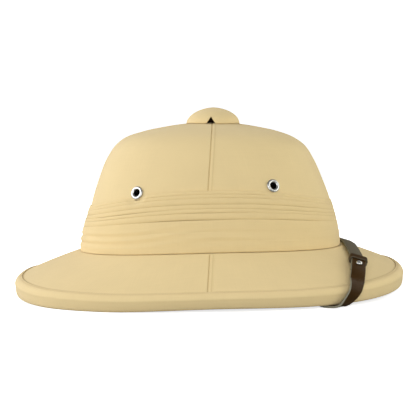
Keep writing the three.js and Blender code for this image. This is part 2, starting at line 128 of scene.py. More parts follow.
BINDING = 0.42
BINDING_GAP = 0.1
EDGE_ON_LIP = 7
LIP_DEEPER = 0.22
LIP_STEEPER = 1.8
WIDEST_RISE = 8.2
EDGE = (
    EdgePoint(-6.6, 13.3),
    EdgePoint(-3.4, 12.4),
    EdgePoint(-1.0, 10.6),
    EdgePoint(-0.15, 8.9),
    EdgePoint(0.0, WIDEST_RISE),
    EdgePoint(-0.3, 7.4),
    EdgePoint(-1.2, 4.6),
    EdgePoint(-4.0, 0.0),
    EdgePoint(-7.4, 0.0),
    EdgePoint(-8.8, 5.6),
)


class Fold(NamedTuple):
    """A pleat of the band, from and to in shares of its height, low and high off the crown.

    crisp is how sharply its upper edge lies over the next pleat and how deep the shade painted under that
    edge, wander how far that edge strays.
    """

    start: float
    end: float
    low: float
    high: float
    crisp: float
    wander: float


BAND_TOP = {"front": 78.3, "back": 76.0, "side": 91.6}
BAND_SWEEP = 2.6
# The band's foot over the crown's foot, here a little below it.
BAND_LIFT = -0.15
# Shares by which the band is thinner at the front and back, less than zero where it is thicker.
THINNER_FRONT = {"foot": 0.35, "top": 0.75}
THINNER_BACK = {"foot": -0.35, "top": 0.45}
BAND_ROOM = 0.7
FOLDS = (
    Fold(0.0, 0.21, 3.7, 4.4, 0.0, 0.012),
    Fold(0.21, 0.34, 4.25, 4.5, 0.0, 0.012),
    Fold(0.34, 0.535, 4.2, 4.6, 1.0, 0.004),
    Fold(0.535, 0.645, 3.4, 3.9, 0.9, 0.004),
    Fold(0.645, 0.71, 3.0, 3.4, 0.7, 0.003),
    Fold(0.71, 0.785, 2.6, 3.0, 0.9, 0.003),
    Fold(0.785, 0.885, 2.1, 2.6, 1.0, 0.003),
    Fold(0.885, 0.945, 1.7, 2.1, 0.7, 0.002),
    Fold(0.945, 1.0, 1.2, 1.6, 1.0, 0.0),
)


class BandRow(NamedTuple):
    """A row of the band's outer face: its share of the height, its distance off the crown, its lift, its
    painted shade and its pleat.
    """

    share: float
    proud: float
    lift: float
    crease: float
    fold: int


# The band's foot tucks under; its crease values paint the shade in the gap over the brim.
BAND_FOOT = (
    BandRow(0.03, 0.3, 0.0, 1.0, 0),
    BandRow(0.0, 2.2, 0.0, 0.6, 0),
    BandRow(0.004, 3.2, 0.0, 0.15, 0),
)
PLEAT_STEPS = (0.05, 0.12, 0.22, 0.36, 0.52, 0.68, 0.82, 0.93)


class Wave(NamedTuple):
    """A wave round the band, shifted from pleat to pleat and from foot to top."""

    swings: int
    height: float
    by_fold: float
    by_share: float


WANDER_WAVES = (Wave(3, 1.0, 1.7, 0.0), Wave(5, 0.6, -2.3, 0.0))
UNEVEN_WAVES = (Wave(4, 1.0, 2.1, 0.0), Wave(7, 1.0, -1.3, 5.0))


class EyeletSeat(NamedTuple):
    """An eyelet's place on the crown, its turn from the front in degrees."""

    name: str
    turn: float
    height: float


EYELETS = (
    EyeletSeat("front_left", 56.8, 94.7),
    EyeletSeat("front_right", -56.8, 94.7),
    EyeletSeat("rear_left", 129.9, 90.4),
    EyeletSeat("rear_right", -129.9, 90.4),
)


class OnBrim(NamedTuple):
    """A place of the strap's inner face over the brim."""

    x: float
    y: float
    lift: float


class RoundLip(NamedTuple):
    """A place of that face round the lip; tip is the angle over the horizon it looks to."""

    turn: float
    out: float
    rise: float
    tip: float


class UnderBrim(NamedTuple):
    """A place of that face under the brim."""

    x: float
    y: float
    height: float


class AtTemple(NamedTuple):
    """A place of that face inside the crown, with room to its wall."""

    x: float
    height: float
    room: float


STRAP_ON_BRIM = (
    OnBrim(124.6, 0.0, 1.0),
    OnBrim(123.4, 25.0, 1.3),
    OnBrim(122.9, 45.0, 1.6),
    OnBrim(123.1, 61.8, 1.9),
    OnBrim(122.6, 76.0, 2.1),
    OnBrim(121.0, 89.0, 1.7),
    OnBrim(119.4, 100.0, 1.7),
)
STRAP_ROUND_LIP = (
    RoundLip(43.3, -6.6, 15.8, 68.0),
    RoundLip(45.2, -2.2, 14.6, 46.0),
    RoundLip(46.6, 0.8, 12.0, 24.0),
    RoundLip(47.9, 1.9, 8.2, -6.0),
    RoundLip(49.3, 0.5, 3.2, -34.0),
    RoundLip(50.6, -2.2, -0.3, -70.0),
    RoundLip(52.3, -8.6, -0.5, -89.0),
)
STRAP_UNDER_BRIM = (UnderBrim(86.0, 106.0, 6.0), UnderBrim(64.0, 96.5, 20.0))
STRAP_AT_TEMPLE = (AtTemple(45.0, 35.0, 1.4), AtTemple(27.0, 49.0, 2.1), AtTemple(17.0, 57.0, 2.7))
STUD_SHANK = 1.1
ANCHOR = {"x": 25.5, "shank": 1.8, "foot": -1.1, "room": 0.7}
STRAP_LAP = {"start": 74.5, "end": 96.0, "keeper": 77.0, "stud": 88.0, "ease": 18.0}


def length(name, description, millimetres):
    """A length property with its default given in millimetres."""
    return bpy.props.FloatProperty(
        name=name, description=description, default=millimetres * MM, unit="LENGTH", precision=5
    )


def angle(name, description, degrees):
    """An angle property with its default given in degrees."""
    return bpy.props.FloatProperty(
        name=name, description=description, default=math.radians(degrees), subtype="ANGLE"
    )


def amount(name, description, default):
    """A plain number property."""
    return bpy.props.FloatProperty(name=name, description=description, default=default)


def colour(name, description, default):
    """A linear colour property."""
    return bpy.props.FloatVectorProperty(
        name=name, description=description, default=default, subtype="COLOR", size=3, min=0, max=1
    )


class ShellSizes(bpy.types.PropertyGroup):
    """Crown and brim, with the seams of their cloth"""

    wall: length("Wall", "Thickness of the pith with its cloth", WALL)
    seam_width: length("Seam width", "Width of a felled seam", 3.8)
    seam_rise: length("Seam rise", "How far a felled seam stands proud", 0.3)
    seam_groove: length("Seam groove", "Depth of the seam's closed edge", 0.55)
    stitch_from: length("Stitch line", "From the seam's closed edge to its stitches", 2.9)
    stitch_length: length("Stitch", "Length of one stitch", 2.0)
    stitch_pitch: length("Stitch pitch", "From one stitch to the next", 2.8)
    thread: length("Thread", "Thickness of the sewing thread", 0.42)
    edge_stitch_from: length("Binding stitch line", "From the binding's upper edge to its stitches", 2.0)
    edge_roll: length("Binding roll", "How far the binding's folded upper edge stands proud", 0.12)


class BandSizes(bpy.types.PropertyGroup):
    """Pleated band"""

    pleat_lip: length("Pleat lip", "How far a pleat's upper edge overlaps the next", 1.0)
    pleat_swell: length("Pleat swell", "How far a pleat swells between its edges", 0.3)
    unevenness: length("Unevenness", "How far the wound cloth strays in and out", 0.5)
    ripple: length("Ripple", "How far the lowest, broad pleat ripples", 0.32)
    pressed_near: length("Pressed near", "Distance from an eyelet where its flange holds the cloth", 6.4)
    pressed_far: length("Pressed far", "Distance from an eyelet where the cloth is free again", 12.0)


class FittingSizes(bpy.types.PropertyGroup):
    """Vent button, eyelets and studs"""

    button_x: length("Button place", "Where the vent button's middle lies along the crown", 5.6)
    button_radius: length("Button radius", "Radius of the vent button", 23.7)
    button_height: length("Button height", "Height of the vent button", 13.8)
    button_wall: length("Button wall", "Thickness of the vent button", 2.0)
    button_fullness: amount("Button fullness", "Two gives a round dome, less a flatter edge", 1.8)
    notch_x: length("Notch place", "Where the vent's notch lies along the crown", 3.6)
    notch_width: length("Notch width", "Width of the vent's notch", 8.2)
    notch_height: length("Notch height", "Height of the vent's notch", 5.4)
    flange: length("Eyelet flange", "Radius of an eyelet's flange", 5.6)
    eyelet_hole: length("Eyelet hole", "Radius of an eyelet's hole", 2.9)
    eyelet_barrel: length("Eyelet barrel", "Outer radius of an eyelet's barrel", 3.7)
    eyelet_lip: length("Eyelet lip", "How far an eyelet's flange stands proud", 1.1)
    eyelet_length: length("Eyelet length", "Length of an eyelet's barrel", 4.6)
    stud_radius: length("Stud radius", "Radius of a strap stud's head", 2.8)
    stud_dome: length("Stud dome", "Height of a strap stud's head", 2.3)
    anchor_radius: length("Anchor radius", "Radius of a strap anchor's head", 4.5)
    anchor_dome: length("Anchor dome", "Height of a strap anchor's head", 1.4)


class StrapSizes(bpy.types.PropertyGroup):
    """Chin strap"""

    width: length("Width", "Width of the strap", 12.0)
    thick: length("Thickness", "Thickness of the leather", 1.8)
    rounding: length("Edge rounding", "Rounding of the strap's cut edges", 0.45)
    keeper_length: length("Keeper length", "Length of a keeper along the strap", 6.5)
    keeper_wall: length("Keeper wall", "Thickness of a keeper", 1.2)
    # Painted sheen: how far the front strap's face is mixed towards the pale cut edge colour, standing for
    # the grey sheen of light on it.
    sheen_painted: amount("Rubbed face", "How far the front strap's face is rubbed grey", 0.5)


class Colours(bpy.types.PropertyGroup):
    """Finishes"""

    khaki: colour("Khaki", "Cotton of the crown, brim and button", (0.76, 0.60, 0.312))
    band: colour("Band", "Cotton of the pleated band", (0.755, 0.59, 0.302))
    thread: colour("Thread", "Sewing thread", (0.70, 0.54, 0.29))
    # Painted shade: the colour the cloth is darkened to in its creases, beside its seams and inside the vent
    # button.
    shade: colour("Crease", "Cloth deep in a crease", (0.36, 0.22, 0.06))
    leather: colour("Leather", "Face of the leather", (0.045, 0.0205, 0.003))
    # Raw edge colour of the leather, also used for the grey sheen painted on the front strap's face.
    cut_edge: colour("Cut edge", "Raw edge of the leather", (0.22, 0.21, 0.155))
    nickel: colour("Nickel", "Eyelets and studs", (0.50, 0.50, 0.475))
    # Painted shade: the post inside the vent is coloured dark to stand for the shade inside the button.
    vent_post_shade: colour("Bronze", "Post inside the vent", (0.045, 0.022, 0.010))
    floor: colour("Floor", "Floor and backdrop", (0.93, 0.93, 0.93))


class StageSettings(bpy.types.PropertyGroup):
    """Camera and light"""

    camera_x: length("Camera along", "Camera's place along the helmet", 1.7)
    camera_back: length("Camera distance", "Distance of the camera from the helmet's middle", 1000.0)
    camera_height: length("Camera height", "Height of the camera over the table", 142.0)
    pitch: angle("Pitch", "How far the camera looks down", 4.01)
    roll: angle("Roll", "How far the camera leans", 0.90)
    yaw: angle("Yaw", "How far the camera turns to the left", 0.10)
    lens: amount("Lens", "Focal length in millimetres", 96.97)
    sky_low: amount("Sky at the horizon", "Strength of the even light from all sides", 0.0)
    sky_top: amount("Sky overhead", "Strength of the even light from above", 0.40)
    left: amount("Left light", "Power of the large light at the left, in watts", 20.8)
    right: amount("Right light", "Power of the large light at the right, in watts", 13.0)
    front: amount("Front light", "Power of the large light at the front, in watts", 18.0)
    rear_left: amount("Rear left light", "Power of the light behind on the left, in watts", 14.5)
    rear_right: amount("Rear right light", "Power of the light behind on the right, in watts", 8.0)
    floor_bounce: amount("Floor bounce", "Share of the light that the floor throws back on the helmet", 0.4)
    floor_glow: amount("Floor glow", "Light that the floor and backdrop seem to give", 0.75)


class StudioLight(NamedTuple):
    """A large square light, its place in metres and its tint."""

    name: str
    place: tuple
    tint: tuple


COOL, NEUTRAL, WARM = (0.95, 0.95, 1.0), (1.0, 1.0, 1.0), (1.0, 1.0, 0.95)
WHITE = (1, 1, 1, 1)
LIGHT_SIZE = 1.3
LIGHT_TARGET = (0, 0, 0.08)
LIGHTS = (
    StudioLight("left", (-1.6, -0.5, 0.45), COOL),
    StudioLight("right", (1.6, -0.5, 0.45), WARM),
    StudioLight("front", (0.0, -1.75, 0.35), NEUTRAL),
    StudioLight("rear_left", (-1.4, 0.8, 0.8), COOL),
    StudioLight("rear_right", (1.4, 0.8, 0.8), WARM),
)


class HelmetSettings(bpy.types.PropertyGroup):
    """All sizes and colours of the helmet"""

    shell: bpy.props.PointerProperty(type=ShellSizes)
    band: bpy.props.PointerProperty(type=BandSizes)
    fittings: bpy.props.PointerProperty(type=FittingSizes)
    strap: bpy.props.PointerProperty(type=StrapSizes)
    colours: bpy.props.PointerProperty(type=Colours)
    stage: bpy.props.PointerProperty(type=StageSettings)


class Sizes:
    """The lengths of a property group, in millimetres."""

    def __init__(self, group):
        for name, rule in group.bl_rna.properties.items():
            if rule.type == "FLOAT" and rule.unit == "LENGTH":
                setattr(self, name, getattr(group, name) / MM)


# Curves and profiles


def even_turns(count):
    """Turns evenly spaced round the helmet."""
    return np.linspace(0, FULL_TURN, count, endpoint=False)


def distances_along(points):
    """Distances of a line's points from its start, along the line."""
    return np.concatenate([[0], np.linalg.norm(np.diff(points, axis=0), axis=1).cumsum()])


def smooth_rows(rows, count, measured=slice(None)):
    """Rows of a table joined by a smooth curve, as rows evenly spaced along the measured columns."""
    rows = np.array(rows, float)
    along = distances_along(rows[:, measured])
    slope = np.gradient(rows, along, axis=0)
    at = np.linspace(0, along[-1], count)
    left = np.clip(np.searchsorted(along, at, side="right") - 1, 0, len(rows) - 2)
    span = (along[left + 1] - along[left])[:, None]
    t = (at - along[left])[:, None] / span
    return (
        (1 + 2 * t) * (1 - t) ** 2 * rows[left]
        + t * (1 - t) ** 2 * span * slope[left]
        + t**2 * (3 - 2 * t) * rows[left + 1]
        - t**2 * (1 - t) * span * slope[left + 1]
    )


def offset_profile(profile, distance):
    """Moves a profile of reaches and heights sideways, to the left of its direction."""
    step = np.diff(profile, axis=-2)
    step = step / np.linalg.norm(step, axis=-1, keepdims=True)
    before = np.concatenate([step[..., :1, :], step], axis=-2)
    after = np.concatenate([step, step[..., -1:, :]], axis=-2)
    middle = before + after
    middle = middle / np.linalg.norm(middle, axis=-1, keepdims=True)
    cosine = (middle * after).sum(-1, keepdims=True)
    left = np.stack([-middle[..., 1], middle[..., 0]], axis=-1)
    return profile + left * distance / np.maximum(cosine, SHARPEST_CORNER)


def smooth_step(value, low, high):
    """Rises smoothly from 0 at low to 1 at high."""
    t = np.clip((value - low) / (high - low), 0, 1)
    return t * t * (3 - 2 * t)


def hump(value, width):
    """A bell of height 1 about zero."""
    return np.exp(-((value / width) ** 2))


def oval(front, back, side, fullness, turn):
    """Reach of an egg-shaped outline at a turn from the front."""
    along = np.abs(np.cos(turn)) / np.where(np.cos(turn) >= 0, front, back)
    across = np.abs(np.sin(turn)) / side
    return (along**fullness + across**fullness) ** (-1 / fullness)


def by_side(size, turn):
    """Blends a size from the side to the front and back."""
    ends = np.abs(np.cos(turn)) ** BAND_SWEEP
    return size["side"] * (1 - ends) + np.where(np.cos(turn) >= 0, size["front"], size["back"]) * ends


def place(turn, reach, height):
    """Points at a turn, reach and height about the helmet's middle."""
    x = CENTRE_X + reach * np.cos(turn)
    return np.stack(np.broadcast_arrays(x, reach * np.sin(turn), height), axis=-1)


def unit(vectors):
    """Vectors of length 1."""
    return vectors / np.linalg.norm(vectors, axis=-1, keepdims=True)


def surface_normals(points):
    """Outward directions on a grid of points that closes around the helmet."""
    around = np.roll(points, -1, axis=0) - np.roll(points, 1, axis=0)
    return unit(np.cross(around, np.gradient(points, axis=1)))


def seam_turn(base, reach, seam_x):
    """Turns a column of the grid so that the side seams run through the given x."""
    return base - (seam_x - CENTRE_X) / reach * np.sin(base) * np.abs(np.sin(base))


def seam_side(seam):
    """1, or -1 for the right side's seam, so that the seams of both sides lap to the front."""
    return 1 if math.sin(seam) > -0.5 else -1


def seam_distance(base, reach, seam_turns):
    """Signed distance around the helmet to the nearest seam, more to the front at the sides."""
    nearest = np.full(np.broadcast(base, reach).shape, np.inf)
    for seam in np.radians(seam_turns):
        away = (base - seam + math.pi) % FULL_TURN - math.pi
        distance = -away * reach * seam_side(seam)
        nearest = np.where(np.abs(distance) < np.abs(nearest), distance, nearest)
    return nearest


def seam_columns(seam_turns, reach, count):
    """Turns of a grid's columns, close together beside each seam."""
    beside, step = 6.5, 0.36
    close = np.arange(-beside, beside + step, step) / reach
    plain = even_turns(count)
    seams = np.radians(seam_turns)
    gap = np.abs((plain[:, None] - seams + math.pi) % FULL_TURN - math.pi).min(axis=1)
    plain = plain[gap > (beside + 1) / reach]
    return np.sort(np.concatenate([plain, (seams[:, None] + close).ravel() % FULL_TURN]))[:, None]


def felled_seam(distance, shell):
    """How far the cloth stands off at a distance from a felled seam's closed edge."""
    closed_flank, open_flank, groove, pulled = (-0.1, 0.5), 0.7, 0.42, 0.5
    raised = smooth_step(distance, *closed_flank)
    width = shell.seam_width
    raised = raised * (1 - smooth_step(distance, width - open_flank, width + open_flank))
    sewn = 0.5 * shell.seam_rise * hump(distance - shell.stitch_from, pulled)
    return shell.seam_rise * raised - shell.seam_groove * hump(distance, groove) - sewn


def seam_shade(distance, shell):
    """How deep in shade the cloth is beside a felled seam's closed edge and its stitches."""
    closed_edge, stitches = 0.42, 0.22
    return closed_edge * hump(distance, 0.5) + stitches * hump(distance - shell.stitch_from, 0.45)


# Surfaces of the helmet


def crown_ovals(levels, turn):
    """Reaches and heights of the crown's outer face at rows of its table."""
    height, tilt, saddle, front, back, side = (levels[None, :, k] for k in range(6))
    reach = oval(front, back, side, CROWN_FULLNESS, turn)
    return reach, height + tilt * np.cos(turn) - saddle * np.cos(2 * turn)


def seam_place(seam, at):
    """The x of a side seam at heights of the crown or reaches of the brim."""
    return np.interp(at, [p.at for p in seam], [p.x for p in seam])


def crown_surface(base, levels):
    """Points of the crown's outer face at grid columns and rows of the crown's table."""
    turn = seam_turn(base, crown_ovals(levels, base)[0], seam_place(CROWN_SEAM, levels[None, :, 0]))
    reach, height = crown_ovals(levels, turn)
    return place(turn, reach, height), reach


def crown_profile(turn):
    """Reaches and heights of the crown's outer face at turns, from the brim up."""
    levels = smooth_rows(CROWN_LEVELS, count=90, measured=CROWN_MEASURE)
    return np.stack(crown_ovals(levels, np.asarray(turn, float).reshape(-1, 1)), axis=-1)


def reach_at(height, profiles):
    """Reaches at rows of heights, each row on its own profile."""
    return np.stack([np.interp(h, p[:, 1], p[:, 0]) for h, p in zip(height, profiles)])


def crown_reach(turn, height, inside=0.0):
    """Reach of the crown's face at a turn and a height."""
    profile = offset_profile(crown_profile(turn), inside)[0]
    return float(np.interp(height, profile[:, 1], profile[:, 0]))


def crown_height(x, y):
    """Heights of the crown's outer face at places near its top."""
    profiles = crown_profile(np.arctan2(y, x - CENTRE_X))[:, ::-1]
    reaches = np.hypot(x - CENTRE_X, y).ravel()
    heights = [np.interp(reach, p[:, 0], p[:, 1]) for reach, p in zip(reaches, profiles)]
    return np.reshape(heights, np.shape(x))


def crown_seat(turn, height):
    """A place on the crown and its outward direction."""
    near, rise = 0.03, 2.0

    def at(turn, height):
        return place(turn, crown_reach(turn, height), height)

    around = at(turn + near, height) - at(turn - near, height)
    upward = at(turn, height + rise) - at(turn, height - rise)
    return at(turn, height), unit(np.cross(around, upward))


def rim_reach(turn):
    """Reach of the rim's outermost line."""
    return oval(RIM["front"], RIM["back"], RIM["side"], RIM_FULLNESS, turn)


def rim_base(turn):
    """Height of the rim's lower edge over the table."""
    return np.maximum(0, sum(size * np.cos(number * turn) for number, size in enumerate(RIM_WAVE)))


def lip_depth(turn):
    """How much deeper the lip is at a turn than at the sides."""
    return 1 + LIP_DEEPER * np.cos(turn) ** 2


def lip_out(turn, edge):
    """Places out from the rim's outermost line on the lip, whose lower face is steeper at the ends."""
    low = 1 - smooth_step(edge[:, 1], 0, WIDEST_RISE)
    return edge[:, 0] + LIP_STEEPER * np.cos(turn) ** 4 * low


def brim_profile(turn, slope_steps):
    """Reaches and heights of the brim's upper face, from under the crown to the lip's foot."""
    turn = np.asarray(turn, float).reshape(-1, 1)
    foot = crown_profile(turn)[:, :1]
    edge = offset_profile(np.array(EDGE), -(BINDING + BINDING_GAP))
    edge = smooth_rows(edge[:EDGE_ON_LIP], count=9)
    reach = rim_reach(turn) + lip_out(turn, edge)
    lip = np.stack([reach, rim_base(turn) + lip_depth(turn) * edge[:, 1]], axis=-1)
    start = foot + [FOLDS[0].high + FOOT_MARGIN, -GAP]
    share = np.linspace(0, 1, slope_steps + 1)[None, :-1, None]
    slope = start + (lip[:, :1] - start) * share
    sag = BRIM_SAG * np.sin(turn) ** 2 - BRIM_SWELL * np.cos(turn) ** 2
    slope[..., 1] -= 4 * sag * (share * (1 - share))[..., 0]
    flange = foot + [-WALL, -GAP]
    return np.concatenate([flange, slope, lip], axis=1)


def brim_height(x, y):
    """Height of the brim's cloth at a place on its slope."""
    steps = 24
    profile = brim_profile(math.atan2(y, x - CENTRE_X), steps)[0, : steps + 1]
    return np.interp(math.hypot(x - CENTRE_X, y), profile[:, 0], profile[:, 1])


def brim_seat(x, y):
    """A place on the brim and its outward direction."""
    near = 2.0
    along = np.array([2 * near, 0, brim_height(x + near, y) - brim_height(x - near, y)])
    across = np.array([0, 2 * near, brim_height(x, y + near) - brim_height(x, y - near)])
    return np.array([x, y, brim_height(x, y)]), unit(np.cross(along, across))


# Meshes


def grid_mesh(name, points, panels=0, closed_columns=True, **masks):
    """Mesh over a grid of points whose rows close into a section, with a map of the cloth's grain.

    Around the helmet the grain runs straight in each panel. With no panels it follows the columns.
    """
    columns, rows = points.shape[:2]
    strips = columns if closed_columns else columns - 1
    c, r = np.meshgrid(np.arange(strips), np.arange(rows), indexing="ij")
    corners = ((0, 0), (1, 0), (1, 1), (0, 1))
    faces = np.stack([(c + dc) % columns * rows + (r + dr) % rows for dc, dr in corners], axis=-1)
    loop = np.concatenate([points, points[:, :1]], axis=1)
    along = np.linalg.norm(np.diff(loop, axis=1), axis=2).cumsum(axis=1)
    along = np.concatenate([np.zeros((columns, 1)), along], axis=1)
    middle = sum(points[(c + dc) % columns, (r + dr) % rows] for dc, dr in corners) / len(corners)
    travelled = np.append(distances_along(points[:, 0]), 0)
    grain = []
    for dc, dr in corners:
        point = points[(c + dc) % columns, (r + dr) % rows]
        across = travelled[c + dc]
        if panels:
            turn = np.arctan2(middle[..., 1], middle[..., 0] - CENTRE_X)
            facing = (np.floor(turn * panels / FULL_TURN) + 0.5) * FULL_TURN / panels
            across = point[..., 1] * np.cos(facing) - point[..., 0] * np.sin(facing)
        grain.append(np.stack([across, along[(c + dc) % columns, r + dr]], axis=-1))
    ends = [] if closed_columns else [range(rows)[::-1], range((columns - 1) * rows, columns * rows)]
    mesh = bpy.data.meshes.new(name)
    mesh.from_pydata((points.reshape(-1, 3) * MM).tolist(), [], faces.reshape(-1, 4).tolist() + ends)
    layer = mesh.uv_layers.new(name="grain")
    flat = np.concatenate([np.stack(grain, axis=-2).reshape(-1, 2), np.zeros((rows * len(ends), 2))])
    layer.data.foreach_set("uv", (flat * MM).astype(np.float32).ravel())
    for mask, values in masks.items():
        attribute = mesh.attributes.new(mask, "FLOAT", "POINT")
        spread = np.broadcast_to(values, (columns, rows)).astype(np.float32)
        attribute.data.foreach_set("value", spread.ravel())
    mesh.shade_smooth()
    return mesh


def close_poles(mesh):
    """Joins the points that meet on an axis and removes the edges left without faces."""
    work = bmesh.new()
    work.from_mesh(mesh)
    bmesh.ops.remove_doubles(work, verts=work.verts, dist=1e-7)
    loose = [edge for edge in work.edges if not edge.link_faces]
    bmesh.ops.delete(work, geom=loose, context="EDGES")
    work.to_mesh(mesh)
    work.free()
    mesh.shade_smooth()
    return mesh


def turned_mesh(name, profile, sides):
    """Mesh turned about Z from a profile of reaches and heights that starts and ends on the axis."""
    turn = even_turns(sides)[:, None]
    reach, height = np.array(profile, float).T
    points = np.stack(np.broadcast_arrays(reach * np.cos(turn), reach * np.sin(turn), height), axis=-1)
    return close_poles(grid_mesh(name, points))


def link(mesh):
    """A new object of a mesh, at the origin."""
    piece = bpy.data.objects.new(mesh.name, mesh)
    bpy.context.scene.collection.objects.link(piece)
    return piece


def baked(piece):
    """The plain mesh of an object with modifiers, which is removed."""
    name = piece.name
    depsgraph = bpy.context.evaluated_depsgraph_get()
    mesh = bpy.data.meshes.new_from_object(
        piece.evaluated_get(depsgraph), preserve_all_data_layers=True, depsgraph=depsgraph
    )
    bpy.data.objects.remove(piece)
    mesh.name = name
    return mesh


def add_piece(mesh, material, slot, *nodes):
    """A finished piece that rides with the helmet and stands for the CAD nodes named."""
    mesh.materials.clear()
    mesh.materials.append(material)
    piece = link(mesh)
    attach(piece, BODY)
    if nodes:
        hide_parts(*nodes)
    return piece


def cut_eyelet_holes(mesh, radius):
    """Cuts the crown where the eyelets' barrels go through."""
    sides, depth = 24, 16
    work = bmesh.new()
    for eyelet in EYELETS:
        seat, axis = crown_seat(math.radians(eyelet.turn), eyelet.height)
        turned = Vector(axis).to_track_quat("Z", "Y").to_matrix().to_4x4()
        bmesh.ops.create_cone(
            work,
            cap_ends=True,
            segments=sides,
            radius1=radius * MM,
            radius2=radius * MM,
            depth=depth * MM,
            matrix=Matrix.Translation(Vector(seat * MM)) @ turned,
        )
    tool = bpy.data.meshes.new("eyelet_drill")
    work.to_mesh(tool)
    work.free()
    drill, piece = link(tool), link(mesh)
    cut = piece.modifiers.new("Eyelet holes", "BOOLEAN")
    cut.operation, cut.object, cut.solver = "DIFFERENCE", drill, "EXACT"
    holed = baked(piece)
    bpy.data.objects.remove(drill)
    return holed


# Node trees


def node(tree, kind, inputs=None, **settings):
    """A node with its settings, and its inputs given as values or linked from sockets."""
    made = tree.nodes.new(kind)
    for name, value in settings.items():
        setattr(made, name, value)
    for name, value in (inputs or {}).items():
        if isinstance(value, bpy.types.NodeSocket):
            tree.links.new(value, made.inputs[name])
        else:
            made.inputs[name].default_value = value
    return made


def math_node(tree, operation, *values):
    """The result of a sum on values or sockets."""
    return node(tree, "ShaderNodeMath", dict(enumerate(values)), operation=operation).outputs[0]


def scaled(tree, value, factor, offset=None):
    """A value times a factor, with an offset added if one is given."""
    product = math_node(tree, "MULTIPLY", value, factor)
    return product if offset is None else math_node(tree, "ADD", product, offset)


def mix_colours(tree, share, first, second):
    """A colour between two, given as values or sockets; the mix node keeps its colours at 6, 7 and 2."""
    return node(tree, "ShaderNodeMix", {0: share, 6: first, 7: second}, data_type="RGBA").outputs[2]


def new_tree(name, kind, inputs, outputs):
    """A node group with named sockets, and its group input and output nodes."""
    tree = bpy.data.node_groups.new(name, kind)
    for in_out, sockets in (("INPUT", inputs), ("OUTPUT", outputs)):
        for socket, socket_kind, *default in sockets:
            made = tree.interface.new_socket(name=socket, in_out=in_out, socket_type=socket_kind)
            if default:
                made.default_value = default[0]
    return tree, node(tree, "NodeGroupInput").outputs, node(tree, "NodeGroupOutput").inputs


def run_tree(piece, tree, **values):
    """The plain mesh that a geometry node tree makes of an object, with the tree's inputs by name."""
    modifier = piece.modifiers.new(tree.name, "NODES")
    modifier.node_group = tree
    for socket in tree.interface.items_tree:
        key = socket.name.lower().replace(" ", "_")
        if socket.in_out == "INPUT" and key in values:
            modifier[socket.identifier] = values[key]
    return baked(piece)


def copies(tree, points, master, direction):
    """Copies of a mesh on points, turned from Z to a direction."""
    facing = node(tree, "FunctionNodeAlignRotationToVector", {"Vector": direction}, axis="Z")
    given = {"Points": points, "Instance": master, "Rotation": facing.outputs[0]}
    put = node(tree, "GeometryNodeInstanceOnPoints", given)
    return node(tree, "GeometryNodeRealizeInstances", {0: put.outputs[0]}).outputs[0]


def stitch_tree():
    """Geometry nodes that lay stitches end to end along a line."""
    if "Stitch Row" in bpy.data.node_groups:
        return bpy.data.node_groups["Stitch Row"]
    tree, given, result = new_tree(
        "Stitch Row",
        "GeometryNodeTree",
        [
            ("Line", "NodeSocketGeometry"),
            ("Pitch", "NodeSocketFloat", 0.0028),
            ("Stitch", "NodeSocketFloat", 0.002),
            ("Thread", "NodeSocketFloat", 0.0004),
            ("Material", "NodeSocketMaterial"),
        ],
        [("Stitches", "NodeSocketGeometry")],
    )
    curve = node(tree, "GeometryNodeMeshToCurve", {"Mesh": given["Line"]})
    spacing = {"Curve": curve.outputs[0], "Length": given["Pitch"]}
    spaced = node(tree, "GeometryNodeResampleCurve", spacing, mode="LENGTH")
    half = [scaled(tree, given[size], 0.5) for size in ("Thread", "Stitch")]
    size = node(tree, "ShaderNodeCombineXYZ", {"X": half[0], "Y": half[0], "Z": half[1]})
    bead = node(tree, "GeometryNodeMeshUVSphere", {"Segments": 6, "Rings": 5, "Radius": 1.0})
    stitch = node(tree, "GeometryNodeTransform", {"Geometry": bead.outputs[0], "Scale": size.outputs[0]})
    tangent = node(tree, "GeometryNodeInputTangent")
    laid = copies(tree, spaced.outputs[0], stitch.outputs[0], tangent.outputs[0])
    smooth = node(tree, "GeometryNodeSetShadeSmooth", {0: laid})
    coat = {"Geometry": smooth.outputs[0], "Material": given["Material"]}
    finished = node(tree, "GeometryNodeSetMaterial", coat)
    tree.links.new(finished.outputs[0], result["Stitches"])
    return tree


def fitting_tree():
    """Geometry nodes that set copies of a turned fitting on seats, facing outwards."""
    if "Set Fittings" in bpy.data.node_groups:
        return bpy.data.node_groups["Set Fittings"]
    tree, given, result = new_tree(
        "Set Fittings",
        "GeometryNodeTree",
        [
            ("Seats", "NodeSocketGeometry"),
            ("Fitting", "NodeSocketObject"),
            ("Material", "NodeSocketMaterial"),
        ],
        [("Fittings", "NodeSocketGeometry")],
    )
    master = node(tree, "GeometryNodeObjectInfo", {"Object": given["Fitting"]})
    outward = node(tree, "GeometryNodeInputNamedAttribute", {"Name": "outward"}, data_type="FLOAT_VECTOR")
    put = copies(tree, given["Seats"], master.outputs["Geometry"], outward.outputs[0])
    finished = node(tree, "GeometryNodeSetMaterial", {"Geometry": put, "Material": given["Material"]})
    tree.links.new(finished.outputs[0], result["Fittings"])
    return tree


def sew(name, lines, shell, closed=False):
    """A piece of stitches along lines of points."""
    points, edges = [], []
    for line in lines:
        first = len(points)
        points += (np.asarray(line) * MM).tolist()
        edges += [(i, i + 1) for i in range(first, len(points) - 1)]
        if closed:
            edges.append((len(points) - 1, first))
    mesh = bpy.data.meshes.new(name)
    mesh.from_pydata(points, edges, [])
    stitches = run_tree(
        link(mesh),
        stitch_tree(),
        pitch=shell.stitch_pitch * MM,
        stitch=shell.stitch_length * MM,
        thread=shell.thread * MM,
        material=thread_finish(),
    )
    add_piece(stitches, thread_finish(), "cloth")


def set_fitting(name, master, seat, outward, material):
    """One turned fitting on its seat."""
    mesh = bpy.data.meshes.new(name)
    mesh.from_pydata([(np.asarray(seat) * MM).tolist()], [], [])
    facing = mesh.attributes.new("outward", "FLOAT_VECTOR", "POINT")
    facing.data.foreach_set("vector", np.asarray(outward, np.float32))
    return run_tree(link(mesh), fitting_tree(), fitting=master, material=material)


# Finishes


